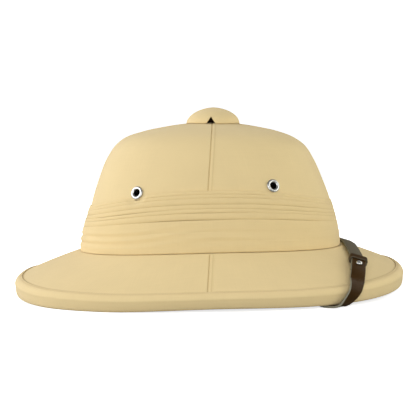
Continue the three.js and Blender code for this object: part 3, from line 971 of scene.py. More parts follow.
def drill_weave_group():
    """Shader group: height and tone of a fine cotton twill that follows the grain map."""
    if "Drill Weave" in bpy.data.node_groups:
        return bpy.data.node_groups["Drill Weave"]
    tree, given, result = new_tree(
        "Drill Weave",
        "ShaderNodeTree",
        [
            ("Grain", "NodeSocketVector"),
            ("Thread", "NodeSocketFloat", 0.0006),
            ("Slub", "NodeSocketFloat", 0.04),
        ],
        [("Height", "NodeSocketFloat"), ("Tone", "NodeSocketFloat")],
    )
    twill_share, streak, mottling, relief, slub_height = 0.6, (900.0, 45.0), 0.07, 0.025, 6.0
    parts = node(tree, "ShaderNodeSeparateXYZ", {0: given["Grain"]}).outputs
    across, along = (
        scaled(tree, math_node(tree, "DIVIDE", parts[axis], given["Thread"]), FULL_TURN)
        for axis in ("X", "Y")
    )
    twill = math_node(tree, "SINE", scaled(tree, math_node(tree, "ADD", across, along), 0.5))
    cross = scaled(tree, math_node(tree, "SINE", across), math_node(tree, "SINE", along))
    woven = math_node(tree, "ADD", scaled(tree, twill, twill_share), scaled(tree, cross, 1 - twill_share))
    streaks = []
    for stretch in (streak, streak[::-1]):
        turned = node(tree, "ShaderNodeMapping", {"Vector": given["Grain"], "Scale": (*stretch, 1.0)})
        noise = node(tree, "ShaderNodeTexNoise", {"Vector": turned.outputs[0], "Scale": 1.0, "Detail": 2.0})
        streaks.append(math_node(tree, "SUBTRACT", noise.outputs["Fac"], 0.5))
    slub = scaled(tree, math_node(tree, "ADD", *streaks), given["Slub"])
    mottle = node(tree, "ShaderNodeTexNoise", {"Vector": given["Grain"], "Scale": 38.0, "Detail": 3.0})
    cloudy = scaled(tree, math_node(tree, "SUBTRACT", mottle.outputs["Fac"], 0.5), mottling)
    tone = math_node(tree, "ADD", math_node(tree, "ADD", slub, cloudy), 1.0)
    tone = math_node(tree, "ADD", tone, scaled(tree, woven, relief))
    tree.links.new(math_node(tree, "ADD", woven, scaled(tree, slub, slub_height)), result["Height"])
    tree.links.new(tone, result["Tone"])
    return tree


def crease_group():
    """Shader group: a colour made deeper where the mask is set; on cloth this is painted shade in the
    creases.
    """
    if "Crease Shade" in bpy.data.node_groups:
        return bpy.data.node_groups["Crease Shade"]
    tree, given, result = new_tree(
        "Crease Shade",
        "ShaderNodeTree",
        [
            ("Color", "NodeSocketColor"),
            ("Tone", "NodeSocketFloat", 1.0),
            ("Crease", "NodeSocketFloat", 0.0),
            ("Deep Color", "NodeSocketColor"),
        ],
        [("Color", "NodeSocketColor")],
    )
    toned = node(tree, "ShaderNodeVectorMath", {0: given["Color"], "Scale": given["Tone"]}, operation="SCALE")
    mixed = mix_colours(tree, given["Crease"], toned.outputs[0], given["Deep Color"])
    tree.links.new(mixed, result["Color"])
    return tree


LEATHER_RUB = 60.0


def grain_group():
    """Shader group: pebbled height and worn mask of smooth leather, also the fine rub of plated metal."""
    if "Rubbed Grain" in bpy.data.node_groups:
        return bpy.data.node_groups["Rubbed Grain"]
    tree, given, result = new_tree(
        "Rubbed Grain",
        "ShaderNodeTree",
        [
            ("Vector", "NodeSocketVector"),
            ("Scale", "NodeSocketFloat", 900.0),
            ("Rub", "NodeSocketFloat", LEATHER_RUB),
        ],
        [("Height", "NodeSocketFloat"), ("Rub", "NodeSocketFloat")],
    )
    pebble = node(tree, "ShaderNodeTexVoronoi", {"Vector": given["Vector"], "Scale": given["Scale"]})
    rub = node(tree, "ShaderNodeTexNoise", {"Vector": given["Vector"], "Scale": given["Rub"], "Detail": 5.0})
    tree.links.new(pebble.outputs["Distance"], result["Height"])
    tree.links.new(rub.outputs["Fac"], result["Rub"])
    return tree


def new_finish(name):
    """A material with an empty tree, or the one already made."""
    known = bpy.data.materials.get(name)
    material = known or bpy.data.materials.new(name)
    if not known:
        material.use_nodes = True
        material.node_tree.nodes.clear()
    return material, material.node_tree, bool(known)


def shade_with(tree, inputs):
    """The material's shader, shown by its output."""
    shader = node(tree, "ShaderNodeBsdfPrincipled", inputs)
    node(tree, "ShaderNodeOutputMaterial", {"Surface": shader.outputs[0]})


def rgba(value):
    """A colour with full alpha."""
    return (*value, 1.0)


def use_group(tree, group, inputs):
    """The outputs of a shader group with its inputs."""
    return node(tree, "ShaderNodeGroup", inputs, node_tree=group).outputs


def rubbed_grain(tree, scale, rub=LEATHER_RUB):
    """Height and rub of a grain that follows the piece."""
    where = node(tree, "ShaderNodeTexCoord")
    return use_group(tree, grain_group(), {"Vector": where.outputs["Object"], "Scale": scale, "Rub": rub})


def crease_mask(tree):
    """The piece's mask: painted shade in the cloth's creases, and on leather its raw cut edges and its
    painted sheen.
    """
    return node(tree, "ShaderNodeAttribute", attribute_name="crease").outputs["Fac"]


def cloth_finish(name, cloth):
    """Khaki cotton drill with creases in shade."""
    material, tree, known = new_finish(name)
    if known:
        return material
    grain = node(tree, "ShaderNodeUVMap", uv_map="grain")
    weave = use_group(tree, drill_weave_group(), {"Grain": grain.outputs[0]})
    deep = rgba(bpy.context.scene.helmet.colours.shade)
    tones = {"Color": rgba(cloth), "Tone": weave["Tone"], "Crease": crease_mask(tree), "Deep Color": deep}
    bump = node(tree, "ShaderNodeBump", {"Strength": 0.35, "Distance": 0.0001, "Height": weave["Height"]})
    shade_with(
        tree,
        {
            "Base Color": use_group(tree, crease_group(), tones)[0],
            "Roughness": 0.88,
            "Specular IOR Level": 0.25,
            "Sheen Weight": 0.08,
            "Sheen Roughness": 0.5,
            "Normal": bump.outputs[0],
        },
    )
    return material


def khaki_finish():
    """Cotton of the crown, brim, binding and button."""
    return cloth_finish("khaki_drill", bpy.context.scene.helmet.colours.khaki)


def band_finish():
    """Cotton of the pleated band."""
    return cloth_finish("pleated_cotton", bpy.context.scene.helmet.colours.band)


def thread_finish():
    """Twisted cotton thread."""
    material, tree, known = new_finish("sewing_thread")
    if known:
        return material
    twist = rubbed_grain(tree, 4000.0)
    thread = rgba(bpy.context.scene.helmet.colours.thread)
    tones = {"Color": thread, "Tone": scaled(tree, twist["Rub"], 0.2, 0.9)}
    shade_with(tree, {"Base Color": use_group(tree, crease_group(), tones)[0], "Roughness": 0.75})
    return material


def leather_finish():
    """Dark brown leather with a satin face and pale raw edges, whose pale colour also paints a grey sheen on
    the front strap's face.
    """
    material, tree, known = new_finish("brown_leather")
    if known:
        return material
    colours = bpy.context.scene.helmet.colours
    grain = rubbed_grain(tree, 1500.0)
    # The crease mask marks the raw cut edges, and the painted sheen on the front strap's face.
    edge = crease_mask(tree)
    tones = {
        "Color": rgba(colours.leather),
        "Tone": scaled(tree, grain["Rub"], 0.9, 0.55),
        "Crease": edge,
        "Deep Color": rgba(colours.cut_edge),
    }
    polish = scaled(tree, grain["Rub"], 0.16, 0.36)
    bump = node(tree, "ShaderNodeBump", {"Strength": 0.25, "Distance": 0.00012, "Height": grain["Height"]})
    shade_with(
        tree,
        {
            "Base Color": use_group(tree, crease_group(), tones)[0],
            "Roughness": math_node(tree, "ADD", polish, scaled(tree, edge, 0.4)),
            "Specular IOR Level": 0.07,
            "Normal": bump.outputs[0],
        },
    )
    return material


def metal_finish(name, plate, base_rough):
    """Plated metal with a fine rub."""
    material, tree, known = new_finish(name)
    if known:
        return material
    rub = rubbed_grain(tree, 3000.0, 700.0)["Rub"]
    tones = {"Color": rgba(plate), "Tone": scaled(tree, rub, 0.16, 0.9)}
    shade_with(
        tree,
        {
            "Base Color": use_group(tree, crease_group(), tones)[0],
            "Metallic": 1.0,
            "Roughness": scaled(tree, rub, 0.14, base_rough),
        },
    )
    return material


def nickel_finish():
    """Nickel of the eyelets and studs."""
    return metal_finish("nickel", bpy.context.scene.helmet.colours.nickel, 0.18)


def vent_post_shade_finish():
    """Metal of the post inside the vent, painted dark to stand for the shade it sits in."""
    return metal_finish("dark_bronze", bpy.context.scene.helmet.colours.vent_post_shade, 0.45)


# Pieces


class HELMET_OT_crown(bpy.types.Operator):
    """Covers the hollow crown in four cloth panels joined by felled seams"""

    bl_idname = "helmet.crown"
    bl_label = "Crown"

    def execute(self, context):
        settings = context.scene.helmet
        shell, fittings = Sizes(settings.shell), Sizes(settings.fittings)
        levels = smooth_rows(CROWN_LEVELS, count=76, measured=CROWN_MEASURE)
        base = seam_columns(CROWN_SEAM_TURNS, CROWN_LEVELS[3].side, count=150)
        points, reach = crown_surface(base, levels)
        normals = surface_normals(points)
        distance = seam_distance(base, reach, CROWN_SEAM_TURNS)
        outside = points + normals * felled_seam(distance, shell)[..., None]
        inside = (points - normals * shell.wall)[:, ::3]
        inside[:, 0, 2] = points[:, 0, 2]
        crease = seam_shade(distance, shell)
        section = np.concatenate([outside, inside[:, ::-1]], axis=1)
        crease = np.concatenate([crease, np.zeros(inside.shape[:2])], axis=1)
        mesh = grid_mesh("crown_cloth", section, panels=4, crease=crease)
        mesh = cut_eyelet_holes(mesh, fittings.eyelet_barrel + GAP)
        add_piece(mesh, khaki_finish(), "cloth", "crown")
        lines = []
        shown, middle, proud = slice(20, 66), [CENTRE_X, 0, 60], 0.1
        for seam in np.radians(CROWN_SEAM_TURNS):
            sewn = seam - seam_side(seam) * shell.stitch_from / reach.mean(axis=0)[None, :]
            line = crown_surface(sewn, levels)[0][0, shown]
            lines.append(line + proud * unit(line - middle))
        sew("crown_stitches", lines, shell)
        return {"FINISHED"}


class HELMET_OT_brim(bpy.types.Operator):
    """Makes the sloping brim with its cloth seamed at both sides"""

    bl_idname = "helmet.brim"
    bl_label = "Brim"

    def execute(self, context):
        shell = Sizes(context.scene.helmet.shell)
        base = seam_columns(BRIM_SEAM_TURNS, RIM["side"], count=240)
        steps = 26
        first = brim_profile(base, steps)
        turn = seam_turn(base, first[..., 0], seam_place(BRIM_SEAM, first[..., 0]))
        top = np.stack([brim_profile(turn[:, k], steps)[:, k] for k in range(first.shape[1])], axis=1)
        under = offset_profile(top, -shell.wall)
        under[:, 0, 0] = top[:, 0, 0]
        points = place(turn, top[..., 0], top[..., 1])
        normals = -surface_normals(points)
        distance = seam_distance(base, top[..., 0], BRIM_SEAM_TURNS)
        on_slope = np.zeros(top.shape[1])
        on_slope[2 : steps + 2] = 1
        points = points + normals * (felled_seam(distance, shell) * on_slope)[..., None]
        below = place(turn, under[..., 0], under[..., 1])
        section = np.concatenate([below, points[:, ::-1]], axis=1)
        shade = (seam_shade(distance, shell) * on_slope)[:, ::-1]
        crease = np.concatenate([np.zeros(below.shape[:2]), shade], axis=1)
        mesh = grid_mesh("brim_cloth", section, panels=12, crease=crease)
        add_piece(mesh, khaki_finish(), "cloth", "brim")
        lines = []
        sewn, forward, proud = slice(3, steps + 1), np.array([shell.stitch_from, 0, 0]), 0.35
        for seam in np.radians(BRIM_SEAM_TURNS):
            column = int(np.abs(base[:, 0] - seam).argmin())
            lines.append(points[column, sewn] + forward + proud * normals[column, sewn])
        sew("brim_stitches", lines, shell)
        return {"FINISHED"}


class HELMET_OT_edge_binding(bpy.types.Operator):
    """Folds a strip of cloth round the lip and sews it down"""

    bl_idname = "helmet.edge_binding"
    bl_label = "Edge binding"

    def execute(self, context):
        shell = Sizes(context.scene.helmet.shell)
        outer = smooth_rows(EDGE, count=46)
        along = distances_along(outer)
        inner = offset_profile(outer, -BINDING)
        roll_at, roll_width, sunk, sunk_width = 0.6, 0.8, 0.12, 0.6
        stitch_line = along - shell.edge_stitch_from
        proud = shell.edge_roll * hump(along - roll_at, roll_width) - sunk * hump(stitch_line, sunk_width)
        cloth = outer + (outer - inner) / BINDING * proud[:, None]
        profile = np.concatenate([inner, cloth[::-1]])
        turn = even_turns(count=300)[:, None]
        height = np.maximum(rim_base(turn) + lip_depth(turn) * profile[:, 1], 0)
        section = place(turn, rim_reach(turn) + lip_out(turn, profile), height)
        edge_shade, stitch_shade, shade_width = 0.38, 0.2, 0.5
        shade = edge_shade * hump(along, shade_width) + stitch_shade * hump(stitch_line, shade_width)
        crease = np.concatenate([np.zeros(len(inner)), shade[::-1]])[None, :]
        mesh = grid_mesh("binding_cloth", section, panels=24, crease=crease)
        add_piece(mesh, khaki_finish(), "cloth", "edge_binding")
        at, stitch_lift = int(np.abs(stitch_line).argmin()), 0.12
        height = rim_base(turn) + lip_depth(turn) * cloth[at, 1] + stitch_lift
        line = place(turn, rim_reach(turn) + cloth[at, 0], height)
        sew("binding_stitches", [line[:, 0]], shell, closed=True)
        return {"FINISHED"}


def band_rows(band):
    """Rows of the band's outer face from its foot to its top."""
    rows = list(BAND_FOOT)
    shaded = 0.0
    for number, fold in enumerate(FOLDS):
        for t in PLEAT_STEPS:
            share = fold.start + (fold.end - fold.start) * t
            proud = fold.low + (fold.high - fold.low) * t + 4 * band.pleat_swell * t * (1 - t)
            # Painted shade: each pleat is darker towards its foot, where it goes behind the upper edge of the
            # pleat below.
            shade = shaded * (0.7 * hump(t, 0.16) + 0.16 * (1 - t))
            rows.append(BandRow(share, proud, 0.0, shade, number))
        shaded = 0.0
        if fold.crisp and number + 1 < len(FOLDS):
            shaded = fold.crisp
            behind = FOLDS[number + 1].low
            lip = band.pleat_lip * fold.crisp
            # The turned-in rows carry painted shade deep in the notch behind the pleat's upper edge.
            turned_in = (
                (fold.high, 0.0, 0.0),
                (fold.high - 0.12, 0.35, 0.0),
                ((fold.high + behind) / 2, 0.5, 0.1),
                (behind + 0.1, 0.2, 0.6),
                (behind - 0.25, -0.5, 1.0),
            )
            rows += [BandRow(fold.end, off, up * lip, deep * shaded, number) for off, up, deep in turned_in]
            rows.append(BandRow(fold.end, behind - 0.05, 0.7 * lip, 0.8 * shaded, number + 1))
    high = FOLDS[-1].high
    turned_in = ((high, 0.0, 0.0), (high - 0.3, 0.35, 0.0), (0.5 * high, 0.5, 0.2), (0.2, 0.3, 0.6))
    rows += [BandRow(1.0, *row, len(FOLDS) - 1) for row in turned_in]
    return np.array(rows)


def sway(waves, turn, fold, share):
    """The sum of waves round the band."""
    return sum(w.height * np.sin(w.swings * turn + w.by_fold * fold + w.by_share * share) for w in waves)


def more_behind(turn, middle, change):
    """An amount that grows from the front to the back."""
    return middle - change * np.cos(turn)


class HELMET_OT_pugaree(bpy.types.Operator):
    """Winds the pleated band round the foot of the crown"""

    bl_idname = "helmet.pugaree"
    bl_label = "Pugaree"

    def execute(self, context):
        band = Sizes(context.scene.helmet.band)
        rows = band_rows(band)
        share, proud, lift, crease, fold = (rows[None, :, k] for k in range(5))
        turn = even_turns(count=400)[:, None]
        number = fold.astype(int)
        wander = np.array([f.wander for f in FOLDS])[number]
        inner = 4 * share * (1 - share)
        moved = np.clip(share + wander * inner * sway(WANDER_WAVES, turn, number, share), 0, 1)
        wave_share = 0.35
        proud = proud + wave_share * band.unevenness * sway(UNEVEN_WAVES, turn, number, share) * inner
        ripples, slant, start, drift = 7, 0.5, 0.7, 1.3
        phase = ripples * share + slant * np.sin(2 * turn + start)
        ripple = np.sin(FULL_TURN * phase + drift * np.sin(5 * turn))
        begins, ends = (0.03, 0.12), (0.4, 0.52)
        soft = smooth_step(share, *begins) * (1 - smooth_step(share, *ends))
        proud = proud + band.ripple * ripple * soft * more_behind(turn, 0.6, 0.4)
        profile = crown_profile(turn)
        foot = profile[:, :1, 1] + BAND_LIFT
        height = foot + (by_side(BAND_TOP, turn) - foot) * moved + lift
        reach = reach_at(height, profile)
        bare = place(turn, reach, height)
        pressed = np.ones_like(height)
        for eyelet in EYELETS:
            seat, _ = crown_seat(math.radians(eyelet.turn), eyelet.height)
            away = np.linalg.norm(bare - seat, axis=-1)
            pressed = np.minimum(pressed, smooth_step(away, band.pressed_near, band.pressed_far))
        front, back = (t["foot"] + (t["top"] - t["foot"]) * share for t in (THINNER_FRONT, THINNER_BACK))
        kept = 1 - np.cos(turn) ** 4 * np.where(np.cos(turn) >= 0, front, back)
        outer_skin, inner_skin, margin, shade = 0.05, 0.02, 0.004, 0.7
        stand = outer_skin + (BAND_ROOM + proud) * kept * pressed
        outside = place(turn, reach + stand, height)
        back = np.linspace(1, 0, 12)[None, :]
        back_height = foot + (by_side(BAND_TOP, turn) - foot) * (margin + (1 - 2 * margin) * back)
        inside = place(turn, reach_at(back_height, profile) + inner_skin, back_height)
        section = np.concatenate([outside, inside], axis=1)
        # Painted shade in the band's creases, none where the eyelets press the cloth flat, and stronger
        # towards the back.
        shaded = crease * pressed * more_behind(turn, 0.72, 0.28)
        shaded = np.concatenate([shaded, np.zeros(back_height.shape)], axis=1)
        mesh = grid_mesh("pugaree_cloth", section, panels=24, crease=shade * shaded)
        add_piece(mesh, band_finish(), "band_cloth", "pugaree")
        return {"FINISHED"}


class HELMET_OT_vent_button(bpy.types.Operator):
    """Makes the cloth-covered vent button with its notches, and finishes the post inside it"""

    bl_idname = "helmet.vent_button"
    bl_label = "Vent button"

    def execute(self, context):
        settings = context.scene.helmet
        fittings = Sizes(settings.fittings)
        fullness = settings.fittings.button_fullness
        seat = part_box("vent_button")[0].z / MM
        half, aside = fittings.notch_width / 2, fittings.notch_x - fittings.button_x
        close_by, plain_from, eased = 1.6 * half, 1.7 * half, 6
        close = np.arccos((aside + np.linspace(-close_by, close_by, 41)) / fittings.button_radius)
        plain = even_turns(count=72)
        plain = plain[np.abs(np.cos(plain) * fittings.button_radius - aside) > plain_from]
        turn = np.sort(np.concatenate([plain, close, FULL_TURN - close]))[:, None]
        from_notch = np.abs(np.cos(turn) * fittings.button_radius - aside)
        open_height = fittings.notch_height * np.clip(1 - from_notch / half, 0, 1)

        def dome(radius, height, share):
            rise = open_height + (height - open_height) * share
            reach = radius * np.clip(1 - (rise / height) ** fullness, 0, 1) ** (1 / fullness)
            return place(turn, reach, rise)

        share = np.sin(np.linspace(0, math.pi / 2, 26))[None, :]
        outside = dome(fittings.button_radius, fittings.button_height, share)
        wall = fittings.button_wall
        inside = dome(fittings.button_radius - wall, fittings.button_height - wall, share[:, ::2])
        section = np.concatenate([outside, inside[:, ::-1]], axis=1)
        section = section + [fittings.button_x - CENTRE_X, 0, seat]
        fall = seat - GAP - crown_height(section[..., 0], section[..., 1])
        section[..., 2] -= np.maximum(fall, 0) * (1 - smooth_step(section[..., 2] - seat, 0, eased))
        # Painted shade: a little at the button's foot, and the full crease colour on its inner face.
        near_edge = 0.3 * hump(share * fittings.button_height, 0.5)
        crease = np.concatenate([near_edge, np.ones((1, inside.shape[1]))], axis=1)
        mesh = close_poles(grid_mesh("button_cloth", section, panels=4, crease=crease))
        add_piece(mesh, khaki_finish(), "cloth", "vent_button")
        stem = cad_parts["vent_stem"]
        # The post is finished dark as painted shade.
        stem.data.materials.clear()
        stem.data.materials.append(vent_post_shade_finish())
        return {"FINISHED"}


class HELMET_OT_eyelets(bpy.types.Operator):
    """Sets the four eyelets in the crown"""

    bl_idname = "helmet.eyelets"
    bl_label = "Eyelets"

    def execute(self, context):
        f = Sizes(context.scene.helmet.fittings)
        middle, half = (f.flange + f.eyelet_hole) / 2, (f.flange - f.eyelet_hole) / 2
        arc, base, inner_neck, outer_neck = np.linspace(-0.12, 1.0, 15) * math.pi, 0.3, -1.0, -0.2
        roll = [(middle + half * math.cos(a), base + (f.eyelet_lip - base) * math.sin(a)) for a in arc]
        profile = [
            (f.eyelet_hole, -f.eyelet_length),
            (f.eyelet_barrel, -f.eyelet_length),
            (f.eyelet_barrel, outer_neck),
            *roll,
            (f.eyelet_hole - 0.02, inner_neck),
        ]
        master = link(turned_mesh("eyelet_master", profile, sides=48))
        for eyelet in EYELETS:
            seat, outward = crown_seat(math.radians(eyelet.turn), eyelet.height)
            seat = seat + GAP * outward
            mesh = set_fitting(f"eyelet_ring_{eyelet.name}", master, seat, outward, nickel_finish())
            add_piece(mesh, nickel_finish(), "metal", f"eyelet_{eyelet.name}")
        bpy.data.objects.remove(master)
        return {"FINISHED"}


class StrapLine:
    """The route of the strap's inner face on the left side, from the middle of the front."""

    def __init__(self):
        rows = []
        for point in STRAP_ON_BRIM:
            seat, away = brim_seat(point.x, point.y)
            rows.append(np.concatenate([seat + point.lift * away, away]))
        for point in STRAP_ROUND_LIP:
            turn = math.radians(point.turn)
            spot = place(turn, rim_reach(turn) + point.out, rim_base(turn) + point.rise)
            away = np.array([math.cos(turn), math.sin(turn), math.tan(math.radians(point.tip))])
            rows.append(np.concatenate([spot, unit(away)]))
        temple = [self.temple_row(point) for point in STRAP_AT_TEMPLE]
        for step, point in enumerate(STRAP_UNDER_BRIM, 1):
            share = step / (len(STRAP_UNDER_BRIM) + 1)
            away = unit(np.array([0, 0, -1.0]) * (1 - share) + temple[0][3:] * share)
            rows.append(np.concatenate([point, away]))
        self.rows = smooth_rows(rows + temple, count=400, measured=slice(0, 3))
        self.along = distances_along(self.rows[:, :3])
        self.length = self.along[-1]

    @staticmethod
    def temple_row(point):
        """A place beside the crown's inner wall, looking into the crown."""
        turn = math.pi / 2
        for _ in range(8):
            turn = math.acos((point.x - CENTRE_X) / crown_reach(turn, point.height, WALL))
        reach = crown_reach(turn, point.height, WALL) - point.room
        away = [-math.cos(turn), -math.sin(turn), 0]
        return np.concatenate([place(turn, reach, point.height), away])

    def frames(self, distances):
        """Places and axes at distances, those below zero on the right side."""
        flip = np.where(np.asarray(distances)[:, None] < 0, MIRROR, (1, 1, 1))
        row = np.stack([np.interp(np.abs(distances), self.along, column) for column in self.rows.T], axis=1)
        spot, guide = row[:, :3] * flip, row[:, 3:] * flip
        ahead = unit(np.gradient(spot, axis=0))
        away = unit(guide - ahead * (guide * ahead).sum(axis=1, keepdims=True))
        return spot, ahead, away, np.cross(away, ahead)

    def frame_at(self, distance):
        """The place and axes at one distance."""
        return (a[1] for a in self.frames(np.array([distance - 0.5, distance, distance + 0.5])))

    def distance_to_x(self, x):
        """The last distance at which the route still lies in front of x."""
        return float(self.along[np.flatnonzero(self.rows[:, 0] >= x)[-1]])


def rounded_box(low, high, rounding, steps=4):
    """Points round a box with rounded corners, counter-clockwise."""
    (left, bottom), (right, top) = low, high
    corners = ((right, bottom, -0.5), (right, top, 0.0), (left, top, 0.5), (left, bottom, 1.0))
    middle = (np.array(low) + high) / 2
    points = []
    for x, y, start in corners:
        centre = np.array([x, y]) + rounding * np.sign(middle - [x, y])
        for turn in (start + np.linspace(0, 0.5, steps)) * math.pi:
            points.append(centre + rounding * np.array([math.cos(turn), math.sin(turn)]))
    return np.array(points)


def strap_mesh(name, line, distances, lift, strap, mirror=False, sheen_painted=0.0):
    """A leather strip along the route, flattened where it lies on the table, with a grey sheen painted across
    its face as asked.
    """
    spot, _, away, across = line.frames(distances)
    half = strap.width / 2
    section = rounded_box((-half, 0), (half, strap.thick), strap.rounding)
    shade = smooth_step(np.abs(section[:, 0]), half - 0.7 * strap.rounding, half - 0.1)
    # Painted sheen: the whole face takes at least this share of the pale cut edge colour.
    shade = np.maximum(shade, sheen_painted)
    stand = np.asarray(lift)[:, None] + section[None, :, 1]
    points = spot[:, None] + across[:, None] * section[None, :, :1] + away[:, None] * stand[..., None]
    points[..., 2] = np.maximum(points[..., 2], strap.thick - section[None, :, 1])
    if mirror:
        points = points[::-1] * MIRROR
    return grid_mesh(name, points, closed_columns=False, crease=shade[None, :])


def keeper_mesh(name, line, strap, mirror):
    """A leather loop round both layers of the strap."""
    spot, ahead, away, across = line.frame_at(STRAP_LAP["keeper"])
    room, corner, edge_shade, top = 0.4, 0.9, 0.3, 2 * strap.thick + 2 * GAP
    low, high = (-strap.width / 2 - room, -GAP), (strap.width / 2 + room, top)
    inner = rounded_box(low, high, corner, steps=6)
    wall = strap.keeper_wall
    outer = rounded_box(np.subtract(low, wall), np.add(high, wall), corner + wall, steps=6)
    half, cut = strap.keeper_length / 2, rounded_box((0, -1), (1, 1), rounding=0.12, steps=3)
    shade = edge_shade * smooth_step(np.abs(cut[:, 1]), 0.9, 0.98)
    ring = inner[:, None] * (1 - cut[None, :, :1]) + outer[:, None] * cut[None, :, :1]
    points = spot + across * ring[..., :1] + away * ring[..., 1:] + ahead * (cut[:, 1:] * half)[None]
    if mirror:
        points = points[::-1] * MIRROR
    return grid_mesh(name, points, crease=shade[None, :])


class HELMET_OT_chin_strap(bpy.types.Operator):
    """Lays the leather chin strap over the brim, with its keepers"""

    bl_idname = "helmet.chin_strap"
    bl_label = "Chin strap"

    def execute(self, context):
        sizes = context.scene.helmet.strap
        strap = Sizes(sizes)
        line = StrapLine()
        lap = STRAP_LAP
        front = np.linspace(-lap["end"], lap["end"], 170)
        flat = np.zeros(len(front))
        # The front strap's face carries the painted sheen.
        mesh = strap_mesh("strap_leather_front", line, front, flat, strap, sheen_painted=sizes.sheen_painted)
        add_piece(mesh, leather_finish(), "leather", "strap_front")
        side = np.linspace(lap["start"], line.length, 220)
        lift = smooth_step(lap["end"] + lap["ease"] - side, 0, lap["ease"]) * (strap.thick + GAP)
        for name, mirror in (("left", False), ("right", True)):
            mesh = strap_mesh(f"strap_leather_{name}", line, side, lift, strap, mirror)
            add_piece(mesh, leather_finish(), "leather", f"strap_{name}")
            mesh = keeper_mesh(f"keeper_leather_{name}", line, strap, mirror)
            add_piece(mesh, leather_finish(), "leather", f"keeper_{name}")
        return {"FINISHED"}


class HELMET_OT_studs(bpy.types.Operator):
    """Fastens the strap with studs on the brim and anchors at the temples"""

    bl_idname = "helmet.studs"
    bl_label = "Studs and anchors"

    def execute(self, context):
        settings = context.scene.helmet
        strap, f = Sizes(settings.strap), Sizes(settings.fittings)
        line = StrapLine()
        arc, edge, rim = np.linspace(0, math.pi / 2, 12), 0.15, 0.3
        anchor_at, anchor_seat = line.distance_to_x(ANCHOR["x"]), strap.thick + ANCHOR["room"]
        stud = (STRAP_LAP["stud"], f.stud_radius, f.stud_dome, STUD_SHANK, 0.0, 2 * strap.thick + 2 * GAP)
        anchor = (anchor_at, f.anchor_radius, f.anchor_dome, ANCHOR["shank"], ANCHOR["foot"], anchor_seat)
        for name, sizes in (("stud", stud), ("anchor", anchor)):
            distance, radius, dome, shank, foot, seat = sizes
            profile = [(0, foot), (shank, foot), (shank, seat), (radius - edge, seat), (radius, seat + edge)]
            profile += [(radius * math.cos(a), seat + rim + (dome - rim) * math.sin(a)) for a in arc[:-1]]
            profile += [(0, seat + dome)]
            master = link(turned_mesh(f"{name}_master", profile, sides=40))
            spot, _, away, _ = line.frame_at(distance)
            for side, flip in (("left", (1, 1, 1)), ("right", MIRROR)):
                mesh = set_fitting(f"{name}_head_{side}", master, spot * flip, away * flip, nickel_finish())
                add_piece(mesh, nickel_finish(), "metal", f"{name}_{side}")
            bpy.data.objects.remove(master)
        return {"FINISHED"}


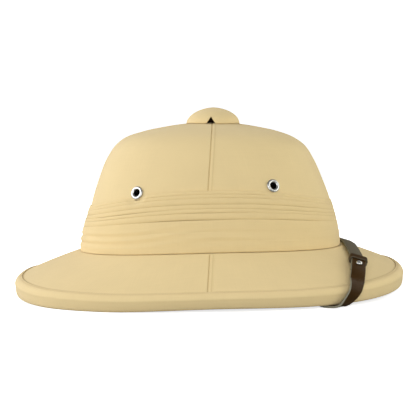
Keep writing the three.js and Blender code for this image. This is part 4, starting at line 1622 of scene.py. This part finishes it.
class HELMET_OT_stage(bpy.types.Operator):
    """Sets the pale floor, the soft light and the camera"""

    bl_idname = "helmet.stage"
    bl_label = "Stage"

    def execute(self, context):
        scene, stage = context.scene, context.scene.helmet.stage
        self.floor(scene.helmet)
        for light in LIGHTS:
            self.light(light, getattr(stage, light.name))
        scene.world = self.sky(stage)
        scene.view_settings.view_transform = "Standard"
        self.camera(scene, stage)
        return {"FINISHED"}

    @staticmethod
    def floor(settings):
        """A floor that bends up into a backdrop."""
        wide, near, bend, top = 4.0, -3.0, 0.8, 3.0
        far, under = 2.2, -0.0002
        arc = np.linspace(-math.pi / 2, 0, 13)
        profile = [(near, under)]
        profile += [(far + bend * math.cos(a), under + bend + bend * math.sin(a)) for a in arc]
        profile += [(far + bend, top)]
        points = [(side * wide, y, z) for y, z in profile for side in (-1, 1)]
        faces = [(2 * i, 2 * i + 1, 2 * i + 3, 2 * i + 2) for i in range(len(profile) - 1)]
        mesh = bpy.data.meshes.new("floor")
        mesh.from_pydata(points, [], faces)
        mesh.shade_smooth()
        material, tree, _ = new_finish("pale_floor")
        seen = node(tree, "ShaderNodeLightPath").outputs["Is Camera Ray"]
        bounce = settings.stage.floor_bounce
        tone = mix_colours(tree, seen, (bounce, bounce, bounce, 1), rgba(settings.colours.floor))
        shade_with(
            tree,
            {
                "Base Color": tone,
                "Roughness": 0.9,
                "Emission Color": WHITE,
                "Emission Strength": scaled(tree, seen, settings.stage.floor_glow),
            },
        )
        mesh.materials.append(material)
        link(mesh)

    @staticmethod
    def sky(stage):
        """Even light that grows overhead, behind a white backdrop."""
        world = bpy.data.worlds.new("studio")
        world.use_nodes = True
        tree = world.node_tree
        where = node(tree, "ShaderNodeTexCoord")
        height = node(tree, "ShaderNodeSeparateXYZ", {0: where.outputs["Generated"]}).outputs["Z"]
        strength = node(
            tree, "ShaderNodeMapRange", {"Value": height, "To Min": stage.sky_low, "To Max": stage.sky_top}
        )
        seen = node(tree, "ShaderNodeLightPath").outputs["Is Camera Ray"]
        white = math_node(tree, "MAXIMUM", strength.outputs[0], seen)
        tree.nodes["Background"].inputs["Color"].default_value = WHITE
        tree.links.new(white, tree.nodes["Background"].inputs["Strength"])
        return world

    @staticmethod
    def light(light, power):
        """A large soft light that looks at the helmet."""
        lamp = bpy.data.lights.new(f"{light.name}_light", "AREA")
        lamp.energy, lamp.size, lamp.color = power, LIGHT_SIZE, light.tint
        holder = bpy.data.objects.new(lamp.name, lamp)
        holder.location = light.place
        towards = Vector(LIGHT_TARGET) - Vector(light.place)
        holder.rotation_euler = towards.to_track_quat("-Z", "Y").to_euler()
        bpy.context.scene.collection.objects.link(holder)

    @staticmethod
    def camera(scene, stage):
        """A camera that looks at the helmet's right side, a little from above."""
        level = Vector((math.cos(stage.yaw), math.sin(stage.yaw), 0))
        ahead = Vector((-math.sin(stage.yaw), math.cos(stage.yaw), 0)) * math.cos(stage.pitch)
        ahead.z = -math.sin(stage.pitch)
        upright = level.cross(ahead)
        right = level * math.cos(stage.roll) - upright * math.sin(stage.roll)
        above = level * math.sin(stage.roll) + upright * math.cos(stage.roll)
        lens = bpy.data.cameras.new("camera")
        lens.lens = stage.lens
        holder = bpy.data.objects.new("camera", lens)
        turned = Matrix((right, above, -ahead)).transposed().to_4x4()
        spot = Vector((stage.camera_x, -stage.camera_back, stage.camera_height))
        holder.matrix_world = Matrix.Translation(spot) @ turned
        scene.collection.objects.link(holder)
        scene.camera = holder


class HELMET_PT_panel(bpy.types.Panel):
    """Lists the helmet's pieces and sizes"""

    bl_idname = "HELMET_PT_panel"
    bl_label = "Pith Helmet"
    bl_space_type = "VIEW_3D"
    bl_region_type = "UI"
    bl_category = "Helmet"

    def draw(self, context):
        pieces = self.layout.column(align=True)
        for operator in OPERATORS:
            pieces.operator(operator.bl_idname)
        settings = context.scene.helmet
        for group in ("shell", "band", "fittings", "strap", "colours", "stage"):
            box = self.layout.box()
            box.label(text=group.title())
            values = getattr(settings, group)
            for name in values.__annotations__:
                box.prop(values, name)


OPERATORS = (
    HELMET_OT_stage,
    HELMET_OT_crown,
    HELMET_OT_brim,
    HELMET_OT_edge_binding,
    HELMET_OT_pugaree,
    HELMET_OT_vent_button,
    HELMET_OT_eyelets,
    HELMET_OT_chin_strap,
    HELMET_OT_studs,
)
GROUPS = (ShellSizes, BandSizes, FittingSizes, StrapSizes, Colours, StageSettings, HelmetSettings)
CLASSES = (*GROUPS, *OPERATORS, HELMET_PT_panel)


def register():
    for kind in CLASSES:
        bpy.utils.register_class(kind)
    bpy.types.Scene.helmet = bpy.props.PointerProperty(type=HelmetSettings)


def unregister():
    del bpy.types.Scene.helmet
    for kind in reversed(CLASSES):
        bpy.utils.unregister_class(kind)


def main():
    register()
    for operator in OPERATORS:
        area, name = operator.bl_idname.split(".")
        getattr(getattr(bpy.ops, area), name)()


if __name__ == "__main__":
    main()
